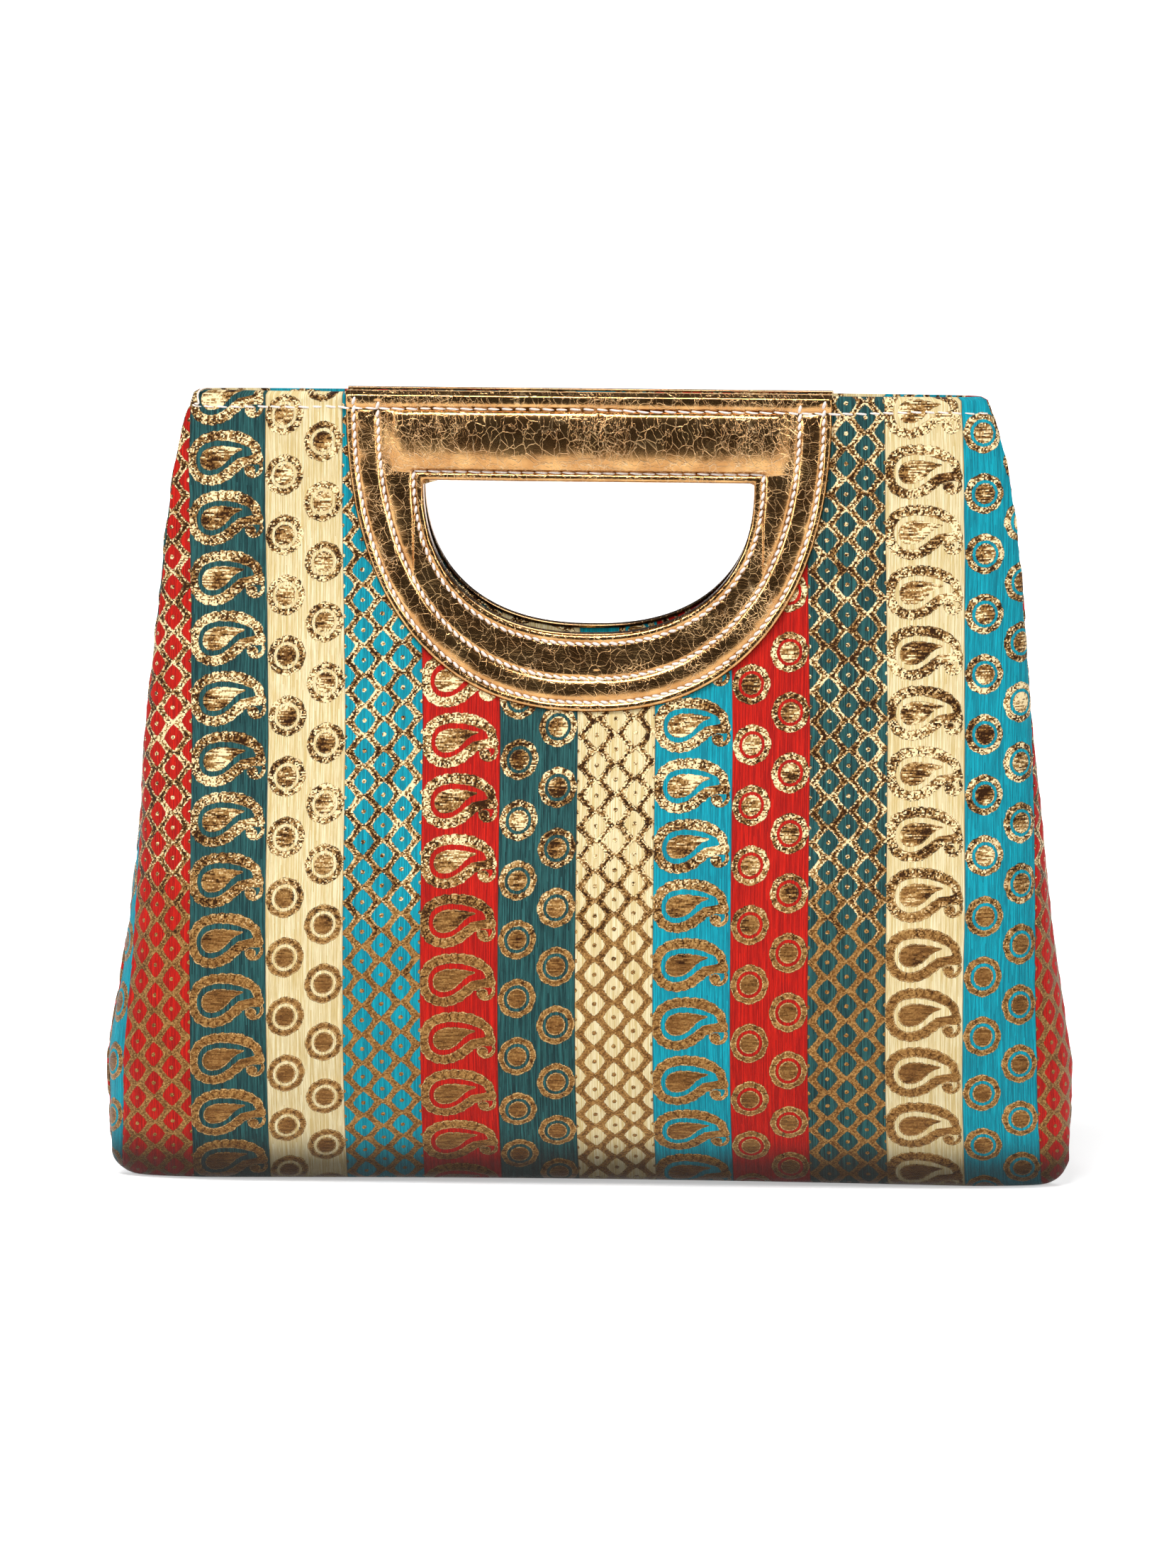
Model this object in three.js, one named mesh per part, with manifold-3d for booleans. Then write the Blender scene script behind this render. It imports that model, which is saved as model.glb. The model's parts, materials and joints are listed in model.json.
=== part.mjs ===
// A striped brocade clutch bag with a hand opening cut through both faces.
// Millimetres, +Z up, the front faces -Y, the origin is at the middle of the base.
import * as THREE from "three";
import Module from "manifold-3d";

const wasm = await Module();
wasm.setup();

// Bag
const HEIGHT = 268;
const TOP_WIDTH = 276;
const BASE_WIDTH = 323.4;
const MOUTH_DEPTH = 11;
const BELLY_DEPTH = 62;
// Below its deepest level the belly turns in on a wide arc, then rolls onto the base.
const BELLY_RADIUS = 100;
const BELLY_TURN = Math.PI / 5;
const BASE_ROLL = 8;
const CORNER_ROLL = 10;
// How late the faces spread out on their way down to the belly.
const SPREAD_POWER = 1.3;
// The side seams stand upright this far above the base, then lean in.
const UPRIGHT_HEIGHT = 42;
// Between, they bow in by this much.
const WAIST = 1.6;
// The top corners draw in by this much more, fading out over this drop.
const CORNER_EASE = 5;
const CORNER_DROP = 14;
// How squarely the flat faces turn into the sides.
const SIDE_POWER = 8;

// Layers, from the outside in
const LEATHER = 0.9;
const BROCADE = 1.0;
const BOARD = 1.2;
const LINING = 0.6;
const GAP = 0.3;

// Woven stripes and motifs
const STRIPE_WIDTH = 26;
const STRIPE_START = -4.8;
const MOTIF_REPEAT = 20.3;
const WEAVE_RELIEF = 0.5;

// Hand opening, a D with its flat side up
const OPENING_WIDTH = 111;
const OPENING_HEIGHT = 51.1;
const OPENING_DROP = 29.3;
const D_POWER = 2.35;

// Leather patch round the opening
const BAND_WIDTH = 26.1;
const STITCH_INSET = 3.2;
const MIDDLE_STITCH = 15.2;
const TOP_STITCH = 5.2;
const RIM_ROLL = 0.3;
const BAND_PUFF = 1.1;
const OUTER_PUFF = 1.0;
const GRIP_PUFF = 3.3;
// Shares of the grip's puff: halfway up its crown, at its long edges and at its ends.
const GRIP_SHOULDER = 0.75;
const GRIP_EDGE = 0.1;
const GRIP_END = 0.3;

// Inside
const FACING_BELOW = 23;
const STIFFENER_SIDE_MARGIN = 24;
const STIFFENER_TOP_MARGIN = 2;
const BASE_BOARD_MARGIN = 3;
const SNAP_DIAMETER = 14;
const SNAP_MARGIN = 1.5;
const SOCKET_HEIGHT = 2.4;
const SOCKET_HOLE = 6;
const STUD_PLATE = 1.2;
const STUD_HEIGHT = 3;
const STUD_PEG = 5;
const SNAP_BEVEL = 0.7;
const STUD_TIP_BEVEL = 0.5;

// Fineness of the facets
const SECTION_STEPS = 96;
const COLUMN_STEPS = 4;
const SIDE_ZONE = 40;
const COARSE_ROW = 20;
const BELLY_ROW = 12;
const ROLL_STEPS = 3;
const FACE_STEPS = 200;
const TOP_STEPS = 6;
const CURVE_STEPS = 12;
const BOARD_STEPS = 10;
const SNAP_STEPS = 32;

// Worked out from the sizes above
const HALF_TURN = Math.PI / 2;
const BELLY_FOOT = BASE_ROLL * (1 - Math.sin(BELLY_TURN));
const BELLY_TOP = BELLY_FOOT + BELLY_RADIUS * Math.sin(BELLY_TURN);
const BELLY_FOOT_DEPTH = BELLY_DEPTH / 2 - BELLY_RADIUS * (1 - Math.cos(BELLY_TURN));
const BASE_HALF_DEPTH = BELLY_FOOT_DEPTH - BASE_ROLL * Math.cos(BELLY_TURN);
const FACE_LEVELS = faceLevels();
const FACE_LENGTH = FACE_LEVELS.at(-1).down;
const FRONT_LENGTH = FACE_LENGTH + BELLY_RADIUS * BELLY_TURN;
const BASE_START = FRONT_LENGTH + BASE_ROLL * (HALF_TURN - BELLY_TURN);
const BASE_END = BASE_START + BASE_HALF_DEPTH;
const BOARD_DEPTH = BROCADE + GAP;
const LINING_DEPTH = BOARD_DEPTH + BOARD + GAP;
const INNER_DEPTH = LINING_DEPTH + LINING;
const OPENING_FOOT = OPENING_DROP + OPENING_HEIGHT;
const OPENING_CLEARANCE = LEATHER + GAP;
const FACING_LENGTH = OPENING_FOOT + FACING_BELOW;
const SNAP_DROP = OPENING_FOOT + OPENING_CLEARANCE + SNAP_MARGIN + SNAP_DIAMETER / 2;

const COLOURS = {
  cream: 0xe6d6a4,
  turquoise: 0x12a6bd,
  red: 0xd4231a,
  green: 0x1f5458,
  gold: 0xc59a4e,
  lining: 0xb9995a,
  board: 0x9a948a,
  foam: 0xe9e4d8,
  metal: 0xc9a75c,
};
const STRIPE_COLOURS = ["cream", "turquoise", "red", "green"];
const STRIPE_MOTIFS = ["diamonds", "paisley", "rings"];

// Shape of the bag

// Half the depth at a height above the belly's deepest level.
function halfDepthAt(height) {
  const share = ((HEIGHT - height) / (HEIGHT - BELLY_TOP)) ** SPREAD_POWER;
  const spread = share * share * (3 - 2 * share);
  return (MOUTH_DEPTH + (BELLY_DEPTH - MOUTH_DEPTH) * spread) / 2;
}

function halfWidthAt(height) {
  const drop = Math.min(1, (HEIGHT - height) / (HEIGHT - UPRIGHT_HEIGHT));
  const seam = (TOP_WIDTH + (BASE_WIDTH - TOP_WIDTH) * drop) / 2;
  const bow = WAIST * Math.sin(Math.PI * drop * drop);
  const ease = CORNER_EASE * Math.exp((height - HEIGHT) / CORNER_DROP);
  const low = Math.max(0, CORNER_ROLL - height);
  const corner = CORNER_ROLL - Math.sqrt(CORNER_ROLL ** 2 - low ** 2);
  return seam - bow - ease - corner;
}

// Levels down the face, each with the length of cloth above it.
function faceLevels() {
  const levels = [{ down: 0, height: HEIGHT }];
  for (let i = 1; i <= FACE_STEPS; i++) {
    const height = HEIGHT - ((HEIGHT - BELLY_TOP) * i) / FACE_STEPS;
    const above = levels[i - 1];
    const step = Math.hypot(
      above.height - height,
      halfDepthAt(height) - halfDepthAt(above.height),
    );
    levels.push({ down: above.down + step, height });
  }
  return levels;
}

function faceHeightAt(down) {
  const last = FACE_LEVELS.findIndex((level) => level.down >= down - 1e-9);
  const b = FACE_LEVELS[Math.max(1, last)];
  const a = FACE_LEVELS[Math.max(1, last) - 1];
  return a.height + ((b.height - a.height) * (down - a.down)) / (b.down - a.down);
}

// The level reached after going a distance down the front's middle line, round the belly
// and the roll, and along the base. lift says how far an inset there goes up instead of
// inwards.
function stationAt(down) {
  if (down <= FACE_LENGTH) {
    const height = faceHeightAt(down);
    return {
      halfWidth: halfWidthAt(height),
      halfDepth: halfDepthAt(height),
      height,
      lift: 0,
    };
  }
  if (down <= FRONT_LENGTH) {
    const lift = (down - FACE_LENGTH) / BELLY_RADIUS;
    const height = BELLY_TOP - BELLY_RADIUS * Math.sin(lift);
    return {
      halfWidth: halfWidthAt(height),
      halfDepth: BELLY_DEPTH / 2 - BELLY_RADIUS * (1 - Math.cos(lift)),
      height,
      lift,
    };
  }
  const lift = Math.min(HALF_TURN, BELLY_TURN + (down - FRONT_LENGTH) / BASE_ROLL);
  const height = BASE_ROLL * (1 - Math.sin(lift));
  const rolled = BASE_HALF_DEPTH + BASE_ROLL * Math.cos(lift);
  return {
    halfWidth: halfWidthAt(height),
    halfDepth: Math.max(GAP / 2, rolled - Math.max(0, down - BASE_START)),
    height,
    lift,
  };
}

const sections = new Map();

// The horizontal section at a level, from the middle of the face round to the side seam.
function sectionAt(down) {
  if (sections.has(down)) return sections.get(down);
  const station = stationAt(down);
  const points = [];
  let across = 0;
  for (let i = 0; i <= SECTION_STEPS; i++) {
    const turn = (i / SECTION_STEPS) * HALF_TURN;
    const x = station.halfWidth * Math.sin(turn) ** (2 / SIDE_POWER);
    const y = station.halfDepth * Math.cos(turn);
    if (i > 0) across += Math.hypot(x - points[i - 1].x, y - points[i - 1].y);
    points.push({ across, x, y });
  }
  const section = { ...station, points, halfCloth: across };
  sections.set(down, section);
  return section;
}

// A point of the front half: across the cloth from the middle line, down the cloth from
// the top edge, and a depth measured inwards from the cloth's outer face.
function bagPoint(across, down, depth) {
  const section = sectionAt(down);
  const reach = Math.min(Math.abs(across), section.halfCloth);
  const last = section.points.findIndex((point) => point.across >= reach - 1e-9);
  const b = section.points[Math.max(1, last)];
  const a = section.points[Math.max(1, last) - 1];
  const share = (reach - a.across) / (b.across - a.across);
  const outerX = a.x + (b.x - a.x) * share;
  const turn = Math.asin(Math.min(1, (outerX / section.halfWidth) ** (SIDE_POWER / 2)));
  const inwards = depth * Math.cos(section.lift);
  const half = section.halfDepth - inwards - GAP / 2;
  return new THREE.Vector3(
    Math.sign(across) * (outerX - inwards * Math.sin(turn)),
    -(GAP / 2 + Math.max(0, half) * Math.cos(turn)),
    section.height + depth * Math.sin(section.lift),
  );
}

// Closed solids from points and triangles

class Builder {
  constructor() {
    this.places = [];
    this.triangles = [];
  }

  add(point) {
    this.places.push(point.x, point.y, point.z);
    return this.places.length / 3 - 1;
  }

  face(a, b, c) {
    this.triangles.push(a, b, c);
  }

  // Joins two rows of points, each { id, at } in order of at, by a strip of triangles.
  zip(upper, lower) {
    let i = 0;
    let j = 0;
    while (i < upper.length - 1 || j < lower.length - 1) {
      const nextUpper = i < upper.length - 1 ? upper[i + 1].at : Infinity;
      const nextLower = j < lower.length - 1 ? lower[j + 1].at : Infinity;
      if (nextUpper <= nextLower) {
        this.face(upper[i].id, lower[j].id, upper[i + 1].id);
        i++;
      } else {
        this.face(upper[i].id, lower[j].id, lower[j + 1].id);
        j++;
      }
    }
  }

  // Joins closed loops of equal length, each to the next and the last to the first.
  ring(loops) {
    const count = loops[0].length;
    loops.forEach((loop, i) => {
      const next = loops[(i + 1) % loops.length];
      for (let k = 0; k < count; k++) {
        const after = (k + 1) % count;
        this.face(loop[k], next[k], loop[after]);
        this.face(loop[after], next[k], next[after]);
      }
    });
  }

  solid() {
    const made = new wasm.Manifold(
      new wasm.Mesh({
        numProp: 3,
        vertProperties: new Float32Array(this.places),
        triVerts: new Uint32Array(this.triangles),
      }),
    );
    if (made.volume() > 0) return made;
    for (let i = 0; i < this.triangles.length; i += 3) {
      const kept = this.triangles[i];
      this.triangles[i] = this.triangles[i + 1];
      this.triangles[i + 1] = kept;
    }
    return this.solid();
  }
}

// The geometry of a front solid, or of its mirror image for the back.
function geometryOf(solid, back = false) {
  const mesh = solid.getMesh();
  const places = new Float32Array(mesh.vertProperties);
  const triangles = new Uint32Array(mesh.triVerts);
  if (back) {
    for (let i = 1; i < places.length; i += 3) places[i] = -places[i];
    triangles.reverse();
  }
  const geometry = new THREE.BufferGeometry();
  geometry.setAttribute("position", new THREE.BufferAttribute(places, 3));
  geometry.setIndex(new THREE.BufferAttribute(triangles, 1));
  return geometry;
}

// Rows and columns of the cloth

function evenly(from, to, step) {
  const count = Math.max(1, Math.round((to - from) / step));
  return Array.from({ length: count + 1 }, (_, i) => from + ((to - from) * i) / count);
}

// Columns at stripe edges and parts of a stripe, kept off the cloth's own edges.
function columnsWithin(limit, keep) {
  const step = STRIPE_WIDTH / COLUMN_STEPS;
  const first = Math.ceil((-limit - STRIPE_START) / step);
  const last = Math.floor((limit - STRIPE_START) / step);
  const columns = [-limit];
  for (let k = first; k <= last; k++) {
    const across = STRIPE_START + k * step;
    const clear = limit - Math.abs(across) > step / 3;
    if (clear && keep(k, Math.abs(across))) columns.push(across);
  }
  return [...columns, limit];
}

function fineColumns(down) {
  const limit = sectionAt(down).halfCloth;
  if (down >= BASE_START) return coarseColumns(down);
  return columnsWithin(limit, () => true);
}

function coarseColumns(down, margin = 0) {
  const limit = sectionAt(down).halfCloth;
  return columnsWithin(limit - margin, (k, reach) => k % COLUMN_STEPS === 0 || reach > limit - SIDE_ZONE);
}

const fineFrontRows = evenly(0, FRONT_LENGTH, MOTIF_REPEAT / 2);
const coarseFrontRows = [
  ...evenly(0, FACE_LENGTH, COARSE_ROW),
  ...evenly(FACE_LENGTH, FRONT_LENGTH, BELLY_ROW).slice(1),
];
const rollRows = evenly(FRONT_LENGTH, BASE_START, (BASE_START - FRONT_LENGTH) / ROLL_STEPS).slice(1);

function rowsBetween(rows, from, to) {
  const inside = rows.filter((down) => down > from + 1 && down < to - 1);
  return [from, ...inside, to];
}

const innerRows = [...coarseFrontRows, ...rollRows, BASE_END];
const outerRows = [...fineFrontRows, ...rollRows, BASE_END];

// How far the weave lies below the crests of its motifs.
function weaveDepth(across, down) {
  if (down > FRONT_LENGTH - MOTIF_REPEAT / 2 || down < 1) return 0;
  const column = Math.round((across - STRIPE_START) / (STRIPE_WIDTH / COLUMN_STEPS));
  const row = Math.round(down / (MOTIF_REPEAT / 2));
  const stripe = Math.floor(column / COLUMN_STEPS);
  const place = column - stripe * COLUMN_STEPS;
  const motif = STRIPE_MOTIFS[((stripe % 3) + 3) % 3];
  const crest = {
    diamonds: (place + row) % 2 === 0,
    rings: (place === 1 && row % 2 === 0) || (place === 3 && row % 2 === 1),
    paisley: place > 0 && row % 2 === 0,
  };
  return crest[motif] ? 0 : WEAVE_RELIEF;
}

// A layer of the front half between two depths, each side with rows and columns of its own.
function layer({ outer, inner, outerDepth, innerDepth }) {
  const builder = new Builder();
  const grid = ({ rows, columns }, depthAt) =>
    rows.map((down) => ({
      down,
      points: columns(down).map((across) => ({
        at: across,
        id: builder.add(bagPoint(across, down, depthAt(across, down))),
      })),
    }));
  const outside = grid(outer, outerDepth);
  const inside = grid(inner, () => innerDepth);
  const edge = (rows, pick) => rows.map(({ down, points }) => ({ at: down, id: points.at(pick).id }));
  for (let i = 1; i < outside.length; i++) builder.zip(outside[i - 1].points, outside[i].points);
  for (let i = 1; i < inside.length; i++) builder.zip(inside[i].points, inside[i - 1].points);
  builder.zip(inside[0].points, outside[0].points);
  builder.zip(outside.at(-1).points, inside.at(-1).points);
  builder.zip(edge(inside, -1), edge(outside, -1));
  builder.zip(edge(outside, 0), edge(inside, 0));
  return builder.solid();
}

// Hand opening

// Half of a D outline from the middle of its flat top round to its foot, as cloth places.
function halfD(halfWidth, drop, height) {
  const top = evenly(0, halfWidth, halfWidth / TOP_STEPS).map((x) => ({ across: x, down: drop }));
  const curve = Array.from({ length: CURVE_STEPS }, (_, i) => {
    const turn = ((i + 1) / CURVE_STEPS) * HALF_TURN;
    return {
      across: halfWidth * Math.max(0, Math.cos(turn)) ** (2 / D_POWER),
      down: drop + height * Math.sin(turn) ** (2 / D_POWER),
    };
  });
  return [...top, ...curve];
}

function wholeD(halfWidth, drop, height) {
  const half = halfD(halfWidth, drop, height);
  const mirrored = half.slice(1, -1).reverse();
  return [...half, ...mirrored.map(({ across, down }) => ({ across: -across, down }))];
}

// A plug of the opening's outline, grown by a clearance, that cuts the layers.
function openingPlug() {
  const outline = wholeD(
    OPENING_WIDTH / 2 + OPENING_CLEARANCE,
    OPENING_DROP - OPENING_CLEARANCE,
    OPENING_HEIGHT + 2 * OPENING_CLEARANCE,
  );
  const middle = OPENING_DROP + OPENING_HEIGHT / 2;
  const builder = new Builder();
  const ends = [-GRIP_PUFF - LEATHER, INNER_DEPTH + 2 * GAP].map((depth) => ({
    centre: builder.add(bagPoint(0, middle, depth)),
    loop: outline.map(({ across, down }) => builder.add(bagPoint(across, down, depth))),
  }));
  const [out, into] = ends;
  outline.forEach((_, i) => {
    const next = (i + 1) % outline.length;
    builder.face(out.centre, out.loop[next], out.loop[i]);
    builder.face(into.centre, into.loop[i], into.loop[next]);
    builder.face(out.loop[i], out.loop[next], into.loop[i]);
    builder.face(into.loop[i], out.loop[next], into.loop[next]);
  });
  return builder.solid();
}

const plug = openingPlug();

// Cloth and board layers

function panel() {
  return layer({
    outer: { rows: outerRows, columns: fineColumns },
    inner: { rows: innerRows, columns: (down) => coarseColumns(down) },
    outerDepth: weaveDepth,
    innerDepth: BROCADE,
  }).subtract(plug);
}

function stiffener() {
  const rows = rowsBetween(coarseFrontRows, STIFFENER_TOP_MARGIN, FRONT_LENGTH);
  const side = { rows, columns: (down) => coarseColumns(down, STIFFENER_SIDE_MARGIN) };
  return layer({
    outer: side,
    inner: side,
    outerDepth: () => BOARD_DEPTH,
    innerDepth: BOARD_DEPTH + BOARD,
  }).subtract(plug);
}

function insideLayer(rows) {
  const side = { rows, columns: (down) => coarseColumns(down) };
  return layer({
    outer: side,
    inner: side,
    outerDepth: () => LINING_DEPTH,
    innerDepth: INNER_DEPTH,
  });
}

function facing() {
  return insideLayer(rowsBetween(innerRows, 0, FACING_LENGTH)).subtract(plug);
}

function lining() {
  return insideLayer(rowsBetween(innerRows, FACING_LENGTH + GAP, BASE_END));
}

// Leather patch: one profile, swept round the D. Each place in the profile is a distance
// out from the opening's rim and a height above the brocade.

// Lines round the patch: rim, stitch, three lines between, stitch, outer edge.
function patchLines(grip) {
  const barWidth = OPENING_DROP;
  const barStitch = barWidth - TOP_STITCH;
  const barMiddle = (STITCH_INSET + barStitch) / 2;
  const outerStitch = BAND_WIDTH - STITCH_INSET;
  const band = [
    0,
    STITCH_INSET,
    (STITCH_INSET + MIDDLE_STITCH) / 2,
    MIDDLE_STITCH,
    (MIDDLE_STITCH + outerStitch) / 2,
    outerStitch,
    BAND_WIDTH,
  ];
  const bar = [
    0,
    STITCH_INSET,
    (STITCH_INSET + barMiddle) / 2,
    barMiddle,
    (barMiddle + barStitch) / 2,
    barStitch,
    barWidth,
  ];
  return band.map((out, i) => {
    const share = out / BAND_WIDTH;
    return share + (bar[i] / barWidth - share) * grip;
  });
}

const GRIP_CROWN = [0, 0, GRIP_SHOULDER, 1, GRIP_SHOULDER, 0, 0];
const BAND_CROWN = [0, 0, BAND_PUFF, 0, OUTER_PUFF, 0, 0];

function patchProfile(grip) {
  const lines = patchLines(grip);
  const lift = GRIP_CROWN.map((crown) => crown * grip * GRIP_PUFF);
  const top = lines.map((share, i) => ({
    share,
    height: GAP + LEATHER + lift[i] + BAND_CROWN[i] * (1 - grip),
  }));
  top[0].height += RIM_ROLL;
  top[6].height += RIM_ROLL;
  const under = lines.map((share, i) => ({ share, height: GAP + lift[i] })).slice(1).reverse();
  const lip = LEATHER / BAND_WIDTH;
  return [
    { share: 0, height: -INNER_DEPTH },
    ...top,
    ...under,
    { share: lip, height: GAP },
    { share: lip, height: -INNER_DEPTH },
  ];
}

function handlePatch() {
  const builder = new Builder();
  const rim = wholeD(OPENING_WIDTH / 2, OPENING_DROP, OPENING_HEIGHT);
  const edge = wholeD(
    OPENING_WIDTH / 2 + BAND_WIDTH,
    0,
    OPENING_FOOT + BAND_WIDTH,
  );
  const loops = rim.map((inner, i) => {
    const outer = edge[i];
    const fromTop = Math.min(i, rim.length - i);
    const grip = fromTop < TOP_STEPS ? 1 : fromTop === TOP_STEPS ? GRIP_END : 0;
    return patchProfile(grip).map(({ share, height }) =>
      builder.add(
        bagPoint(
          inner.across + (outer.across - inner.across) * share,
          inner.down + (outer.down - inner.down) * share,
          -height,
        ),
      ),
    );
  });
  builder.ring(loops);
  return builder.solid();
}

// Padding in the grip, under the leather between its two stitch lines.
function gripPadding() {
  const builder = new Builder();
  const from = TOP_STITCH + LEATHER + GAP;
  const to = OPENING_DROP - STITCH_INSET - LEATHER - GAP;
  const middle = (TOP_STITCH + OPENING_DROP - STITCH_INSET) / 2;
  const quarter = (middle - TOP_STITCH) / 2;
  const crown = [
    { down: from, height: GRIP_EDGE },
    { down: middle - quarter, height: GRIP_SHOULDER },
    { down: middle, height: 1 },
    { down: middle + quarter, height: GRIP_SHOULDER },
    { down: to, height: GRIP_EDGE },
  ];
  const half = ((OPENING_WIDTH / 2) * (TOP_STEPS - 1)) / TOP_STEPS - LEATHER;
  const taper = OPENING_DROP / 4;
  const columns = [
    { across: -half, full: GRIP_END },
    { across: -half + taper, full: 1 },
    { across: half - taper, full: 1 },
    { across: half, full: GRIP_END },
  ];
  const loops = columns.map(({ across, full }) => [
    builder.add(bagPoint(across, to, -GAP)),
    builder.add(bagPoint(across, from, -GAP)),
    ...crown.map(({ down, height }) =>
      builder.add(bagPoint(across, down, -GAP - (GRIP_PUFF - GAP) * height * full)),
    ),
  ]);
  for (let i = 1; i < loops.length; i++) {
    const a = loops[i - 1];
    const b = loops[i];
    a.forEach((_, k) => {
      const after = (k + 1) % a.length;
      builder.face(a[k], b[k], a[after]);
      builder.face(a[after], b[k], b[after]);
    });
  }
  const [start, end] = [loops[0], loops.at(-1)];
  for (let k = 1; k < start.length - 1; k++) {
    builder.face(start[0], start[k], start[k + 1]);
    builder.face(end[0], end[k + 1], end[k]);
  }
  return builder.solid();
}

// Board that keeps the base flat, cut to the outline of the flat part of the base.

function baseBoard() {
  const halfLength = halfWidthAt(0) - BASE_BOARD_MARGIN;
  const halfDepth = BASE_HALF_DEPTH - GAP;
  const outline = new THREE.Shape();
  for (let i = 0; i < 4 * BOARD_STEPS; i++) {
    const turn = (i / BOARD_STEPS) * HALF_TURN;
    const x = halfLength * Math.sign(Math.cos(turn)) * Math.abs(Math.cos(turn)) ** (2 / SIDE_POWER);
    const y = halfDepth * Math.sin(turn);
    if (i === 0) outline.moveTo(x, y);
    else outline.lineTo(x, y);
  }
  return new THREE.ExtrudeGeometry(outline, { depth: BOARD, bevelEnabled: false });
}

// Magnetic snap

function snapSocket() {
  const radius = SNAP_DIAMETER / 2;
  const profile = [
    [0, 0],
    [radius, 0],
    [radius, SOCKET_HEIGHT - SNAP_BEVEL],
    [radius - SNAP_BEVEL, SOCKET_HEIGHT],
    [SOCKET_HOLE / 2, SOCKET_HEIGHT],
    [SOCKET_HOLE / 2, SOCKET_HEIGHT / 2],
    [0, SOCKET_HEIGHT / 2],
  ];
  return latheOf(profile);
}

function snapStud() {
  const radius = SNAP_DIAMETER / 2;
  const profile = [
    [0, 0],
    [radius, 0],
    [radius, STUD_PLATE - SNAP_BEVEL],
    [radius - SNAP_BEVEL, STUD_PLATE],
    [STUD_PEG / 2, STUD_PLATE],
    [STUD_PEG / 2, STUD_HEIGHT - STUD_TIP_BEVEL],
    [STUD_PEG / 2 - STUD_TIP_BEVEL, STUD_HEIGHT],
    [0, STUD_HEIGHT],
  ];
  return latheOf(profile);
}

function latheOf(profile) {
  return new THREE.LatheGeometry(
    profile.map(([x, y]) => new THREE.Vector2(x, y)),
    SNAP_STEPS,
  );
}

// Colours of the woven stripes

// The distance across the cloth of a place on its outer face.
function acrossOf(x, height) {
  const down = ((HEIGHT - Math.max(BELLY_FOOT, height)) * FRONT_LENGTH) / (HEIGHT - BELLY_FOOT);
  const section = sectionAt(Math.round(down));
  const reach = Math.min(Math.abs(x), section.halfWidth);
  const found = section.points.findIndex((point) => point.x >= reach - 1e-9);
  const b = section.points[Math.max(1, found)];
  const a = section.points[Math.max(1, found) - 1];
  return Math.sign(x) * (a.across + ((b.across - a.across) * (reach - a.x)) / (b.x - a.x));
}

function paintStripes(geometry) {
  const painted = geometry.toNonIndexed();
  const places = painted.getAttribute("position");
  const colours = new Float32Array(places.count * 3);
  for (let i = 0; i < places.count; i += 3) {
    const x = (places.getX(i) + places.getX(i + 1) + places.getX(i + 2)) / 3;
    const z = (places.getZ(i) + places.getZ(i + 1) + places.getZ(i + 2)) / 3;
    const stripe = Math.floor((acrossOf(x, z) - STRIPE_START) / STRIPE_WIDTH);
    const name = STRIPE_COLOURS[((stripe % 4) + 4) % 4];
    const colour = new THREE.Color(COLOURS[name]);
    for (let k = 0; k < 3; k++) colour.toArray(colours, 3 * (i + k));
  }
  painted.setAttribute("color", new THREE.BufferAttribute(colours, 3));
  return painted;
}

// The model

const bag = new THREE.Group();

function addNode(name, geometry, look) {
  const mesh = new THREE.Mesh(geometry, new THREE.MeshStandardMaterial(look));
  mesh.name = name;
  bag.add(mesh);
  return mesh;
}

const LOOKS = {
  brocade: { color: 0xffffff, vertexColors: true, roughness: 0.6, metalness: 0.15 },
  leather: { color: COLOURS.gold, roughness: 0.32, metalness: 0.85 },
  lining: { color: COLOURS.lining, roughness: 0.75, metalness: 0 },
  board: { color: COLOURS.board, roughness: 0.9, metalness: 0 },
  foam: { color: COLOURS.foam, roughness: 0.95, metalness: 0 },
  metal: { color: COLOURS.metal, roughness: 0.3, metalness: 1 },
};

for (const side of ["front", "back"]) {
  const place = (solid) => geometryOf(solid, side === "back");
  addNode(`${side}_panel`, paintStripes(place(panel())), LOOKS.brocade);
  addNode(`${side}_facing`, paintStripes(place(facing())), LOOKS.brocade);
  addNode(`${side}_lining`, place(lining()), LOOKS.lining);
  addNode(`${side}_stiffener`, place(stiffener()), LOOKS.board);
  addNode(`${side}_handle_patch`, place(handlePatch()), LOOKS.leather);
  addNode(`${side}_grip_padding`, place(gripPadding()), LOOKS.foam);
}

addNode("base_board", baseBoard(), LOOKS.board).position.z = BOARD_DEPTH;

// The snap's halves stand on the facings, square to them, and look at each other.
const snapSeat = bagPoint(0, SNAP_DROP, INNER_DEPTH + GAP);
const snapRadius = SNAP_DIAMETER / 2;
const faceLean = Math.atan2(
  halfDepthAt(snapSeat.z - snapRadius) - halfDepthAt(snapSeat.z + snapRadius),
  SNAP_DIAMETER,
);
const socket = addNode("snap_socket", snapSocket(), LOOKS.metal);
socket.position.copy(snapSeat);
socket.rotation.x = -faceLean;
const stud = addNode("snap_stud", snapStud(), LOOKS.metal);
stud.position.set(snapSeat.x, -snapSeat.y, snapSeat.z);
stud.rotation.x = Math.PI + faceLean;

export default bag;
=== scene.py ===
import json
import math
from functools import partialmethod

import bpy
import numpy as np
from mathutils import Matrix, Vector
from mathutils.kdtree import KDTree

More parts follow.
